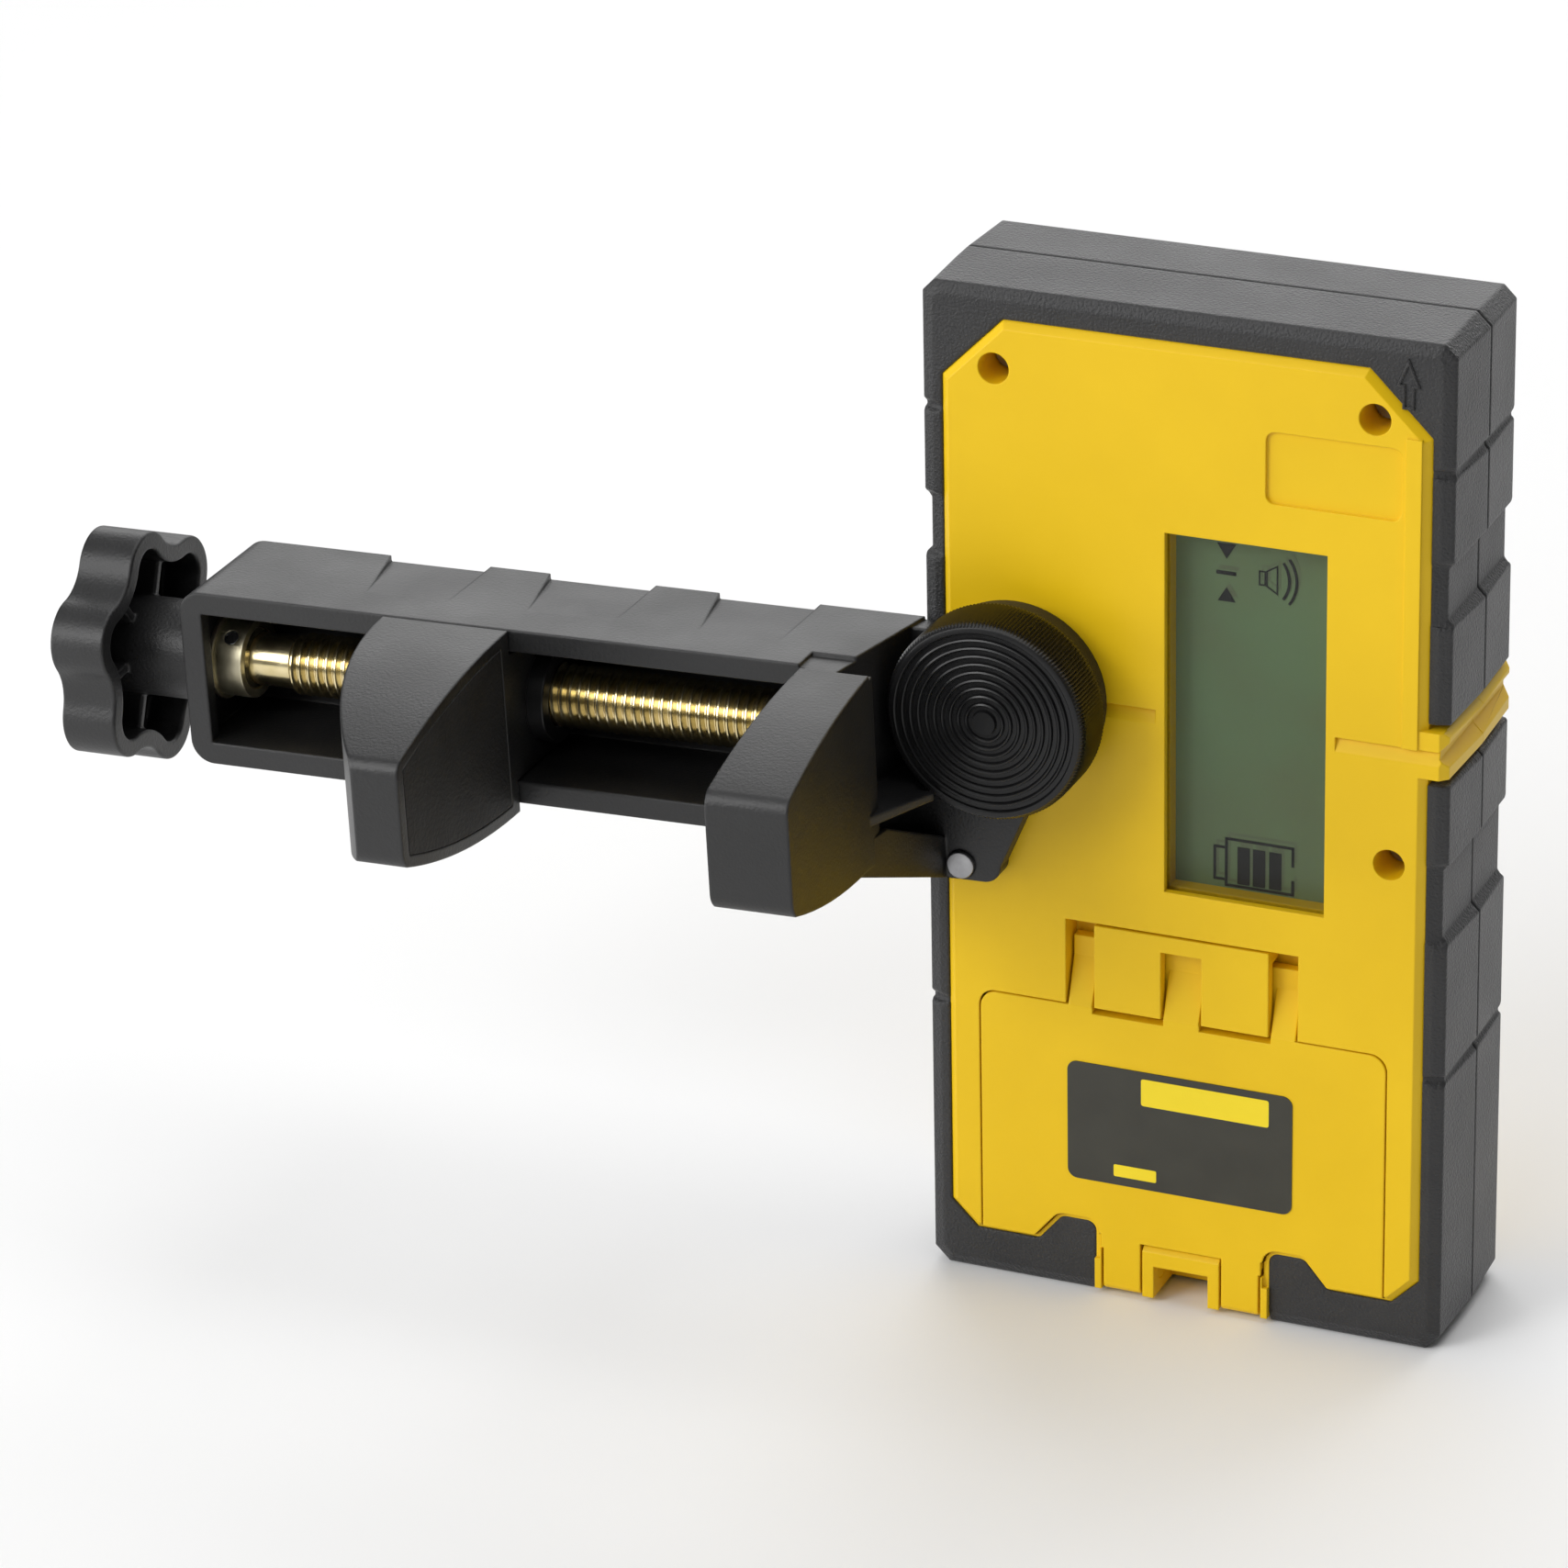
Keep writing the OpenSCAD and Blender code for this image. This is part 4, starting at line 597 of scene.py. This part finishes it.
LABEL_X = 11.6
LABEL_Z = 15.2
LABEL_WIDTH = 29.65
LABEL_HEIGHT = 16.3
LABEL_CORNER = 1.3
LABEL_STEPS = 8
LABEL_RISE = 0.12
FIELD_X = 21.4
FIELD_Z = 26.85
FIELD_WIDTH = 16.8
FIELD_HEIGHT = 3.7
FIELD_CORNER = 0.3
STRIP_X = 17.75
STRIP_Z = 16.4
STRIP_WIDTH = 5.65
STRIP_HEIGHT = 1.65
STRIP_CORNER = 0.2
PRINT_STEPS = 3
PRINT_RISE = 0.03

low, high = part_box("battery_door")
corner = (low.x, low.z)
print_y = low.y - LABEL_RISE * MM
backing = round_outline(LABEL_X, LABEL_Z, LABEL_WIDTH, LABEL_HEIGHT, LABEL_CORNER, LABEL_STEPS)
field = round_outline(FIELD_X, FIELD_Z, FIELD_WIDTH, FIELD_HEIGHT, FIELD_CORNER, PRINT_STEPS)
strip = round_outline(STRIP_X, STRIP_Z, STRIP_WIDTH, STRIP_HEIGHT, STRIP_CORNER, PRINT_STEPS)
plate("door_label", [backing], corner, low.y, LABEL_RISE, label, "door")
plate("door_label_field", [field], corner, print_y, PRINT_RISE, label_yellow, "door")
plate("door_label_bar", [strip], corner, print_y, PRINT_RISE, label_yellow, "door")


# Arrow on the top bumper, in mm from its tip

ARROW_INSET = 6.1 * MM
ARROW_DROP = 2.8 * MM
ARROW_RISE = 0.22
ARROW_LINE = 0.3
STEM_LEFT = -0.55
STEM_RIGHT = 0.6
STEM_FOOT = -5.75
HEAD_HALF = 1.25
HEAD_FOOT = -3.0

low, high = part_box("rear_upper_bumper")
tip = (high.x - ARROW_INSET, high.z - ARROW_DROP)
arrow = [(STEM_LEFT, STEM_FOOT), (STEM_RIGHT, STEM_FOOT), (STEM_RIGHT, HEAD_FOOT), (HEAD_HALF, HEAD_FOOT),
         (0, 0), (-HEAD_HALF, HEAD_FOOT), (STEM_LEFT, HEAD_FOOT)]
outline = stroke(arrow, ARROW_LINE, True)
plate("up_arrow", outline, tip, low.y, ARROW_RISE, bumper, "receiver")


# Floor

FLOOR_HALF = 6
FLOOR_DROP = 0.1 * MM

shape = bmesh.new()
floor_outline = box_outline(-FLOOR_HALF, -FLOOR_HALF, FLOOR_HALF, FLOOR_HALF)
shape.faces.new([shape.verts.new((x, y, -FLOOR_DROP)) for x, y in floor_outline])
sheet = bpy.data.meshes.new("floor")
shape.to_mesh(sheet)
shape.free()
floor = bpy.data.objects.new("floor", sheet)
bpy.context.scene.collection.objects.link(floor)
sheet.materials.append(pale)


# Light

WORLD_STRENGTH = 0.12
# Name, then place, target, and width and height in metres, then radiance
SOFTBOXES = (
    ("key", (-0.25, -1.0, 0.9), (0, 0, 0.06), (0.9, 0.7), 1.9),
    ("front_left", (-0.6, -0.85, 0.6), (-0.05, 0, 0.07), (0.5, 0.5), 6.0),
    ("left", (-1.0, -0.45, 0.22), (-0.05, 0, 0.07), (0.7, 0.4), 4.4),
    ("overhead", (0.0, 0.1, 1.2), (0, 0.05, 0.06), (1.2, 1.0), 1.8),
    ("back", (-0.2, 1.2, 0.8), (-0.02, 0, 0.08), (1.8, 1.0), 2.4),
)

world = bpy.data.worlds.new("studio")
bpy.context.scene.world = world
world.use_nodes = True
background = world.node_tree.nodes["Background"]
background.inputs["Color"].default_value = (1, 1, 1, 1)
background.inputs["Strength"].default_value = WORLD_STRENGTH

for name, place, target, size, radiance in SOFTBOXES:
    lamp = bpy.data.lights.new(name, "AREA")
    lamp.shape = "RECTANGLE"
    lamp.size, lamp.size_y = size
    lamp.energy = radiance * math.pi * size[0] * size[1]
    holder = bpy.data.objects.new(name, lamp)
    holder.location = place
    holder.rotation_euler = (Vector(target) - Vector(place)).to_track_quat("-Z", "Y").to_euler()
    bpy.context.scene.collection.objects.link(holder)


# Camera, solved from the edges of the case in the photograph

IMAGE_PIXELS = 1708
FOCAL_PIXELS = 7806.57
SENSOR = 36
CLIP_NEAR = 0.05
CLIP_FAR = 20
CAMERA_PLACE = Vector((277.88, -754.67, 431.06)) * MM
CAMERA_RIGHT = Vector((0.91713535, 0.39802151, -0.02101485))
CAMERA_FORWARD = Vector((-0.37068714, 0.83240043, -0.41194729))

lens = bpy.data.cameras.new("camera")
lens.sensor_width = SENSOR
lens.lens = FOCAL_PIXELS * SENSOR / IMAGE_PIXELS
lens.clip_start = CLIP_NEAR
lens.clip_end = CLIP_FAR
camera = bpy.data.objects.new("camera", lens)
camera_up = CAMERA_RIGHT.cross(CAMERA_FORWARD)
pose = Matrix((CAMERA_RIGHT, camera_up, -CAMERA_FORWARD)).transposed().to_4x4()
pose.translation = CAMERA_PLACE
camera.matrix_world = pose
bpy.context.scene.collection.objects.link(camera)
bpy.context.scene.camera = camera
bpy.context.scene.view_settings.view_transform = "Standard"
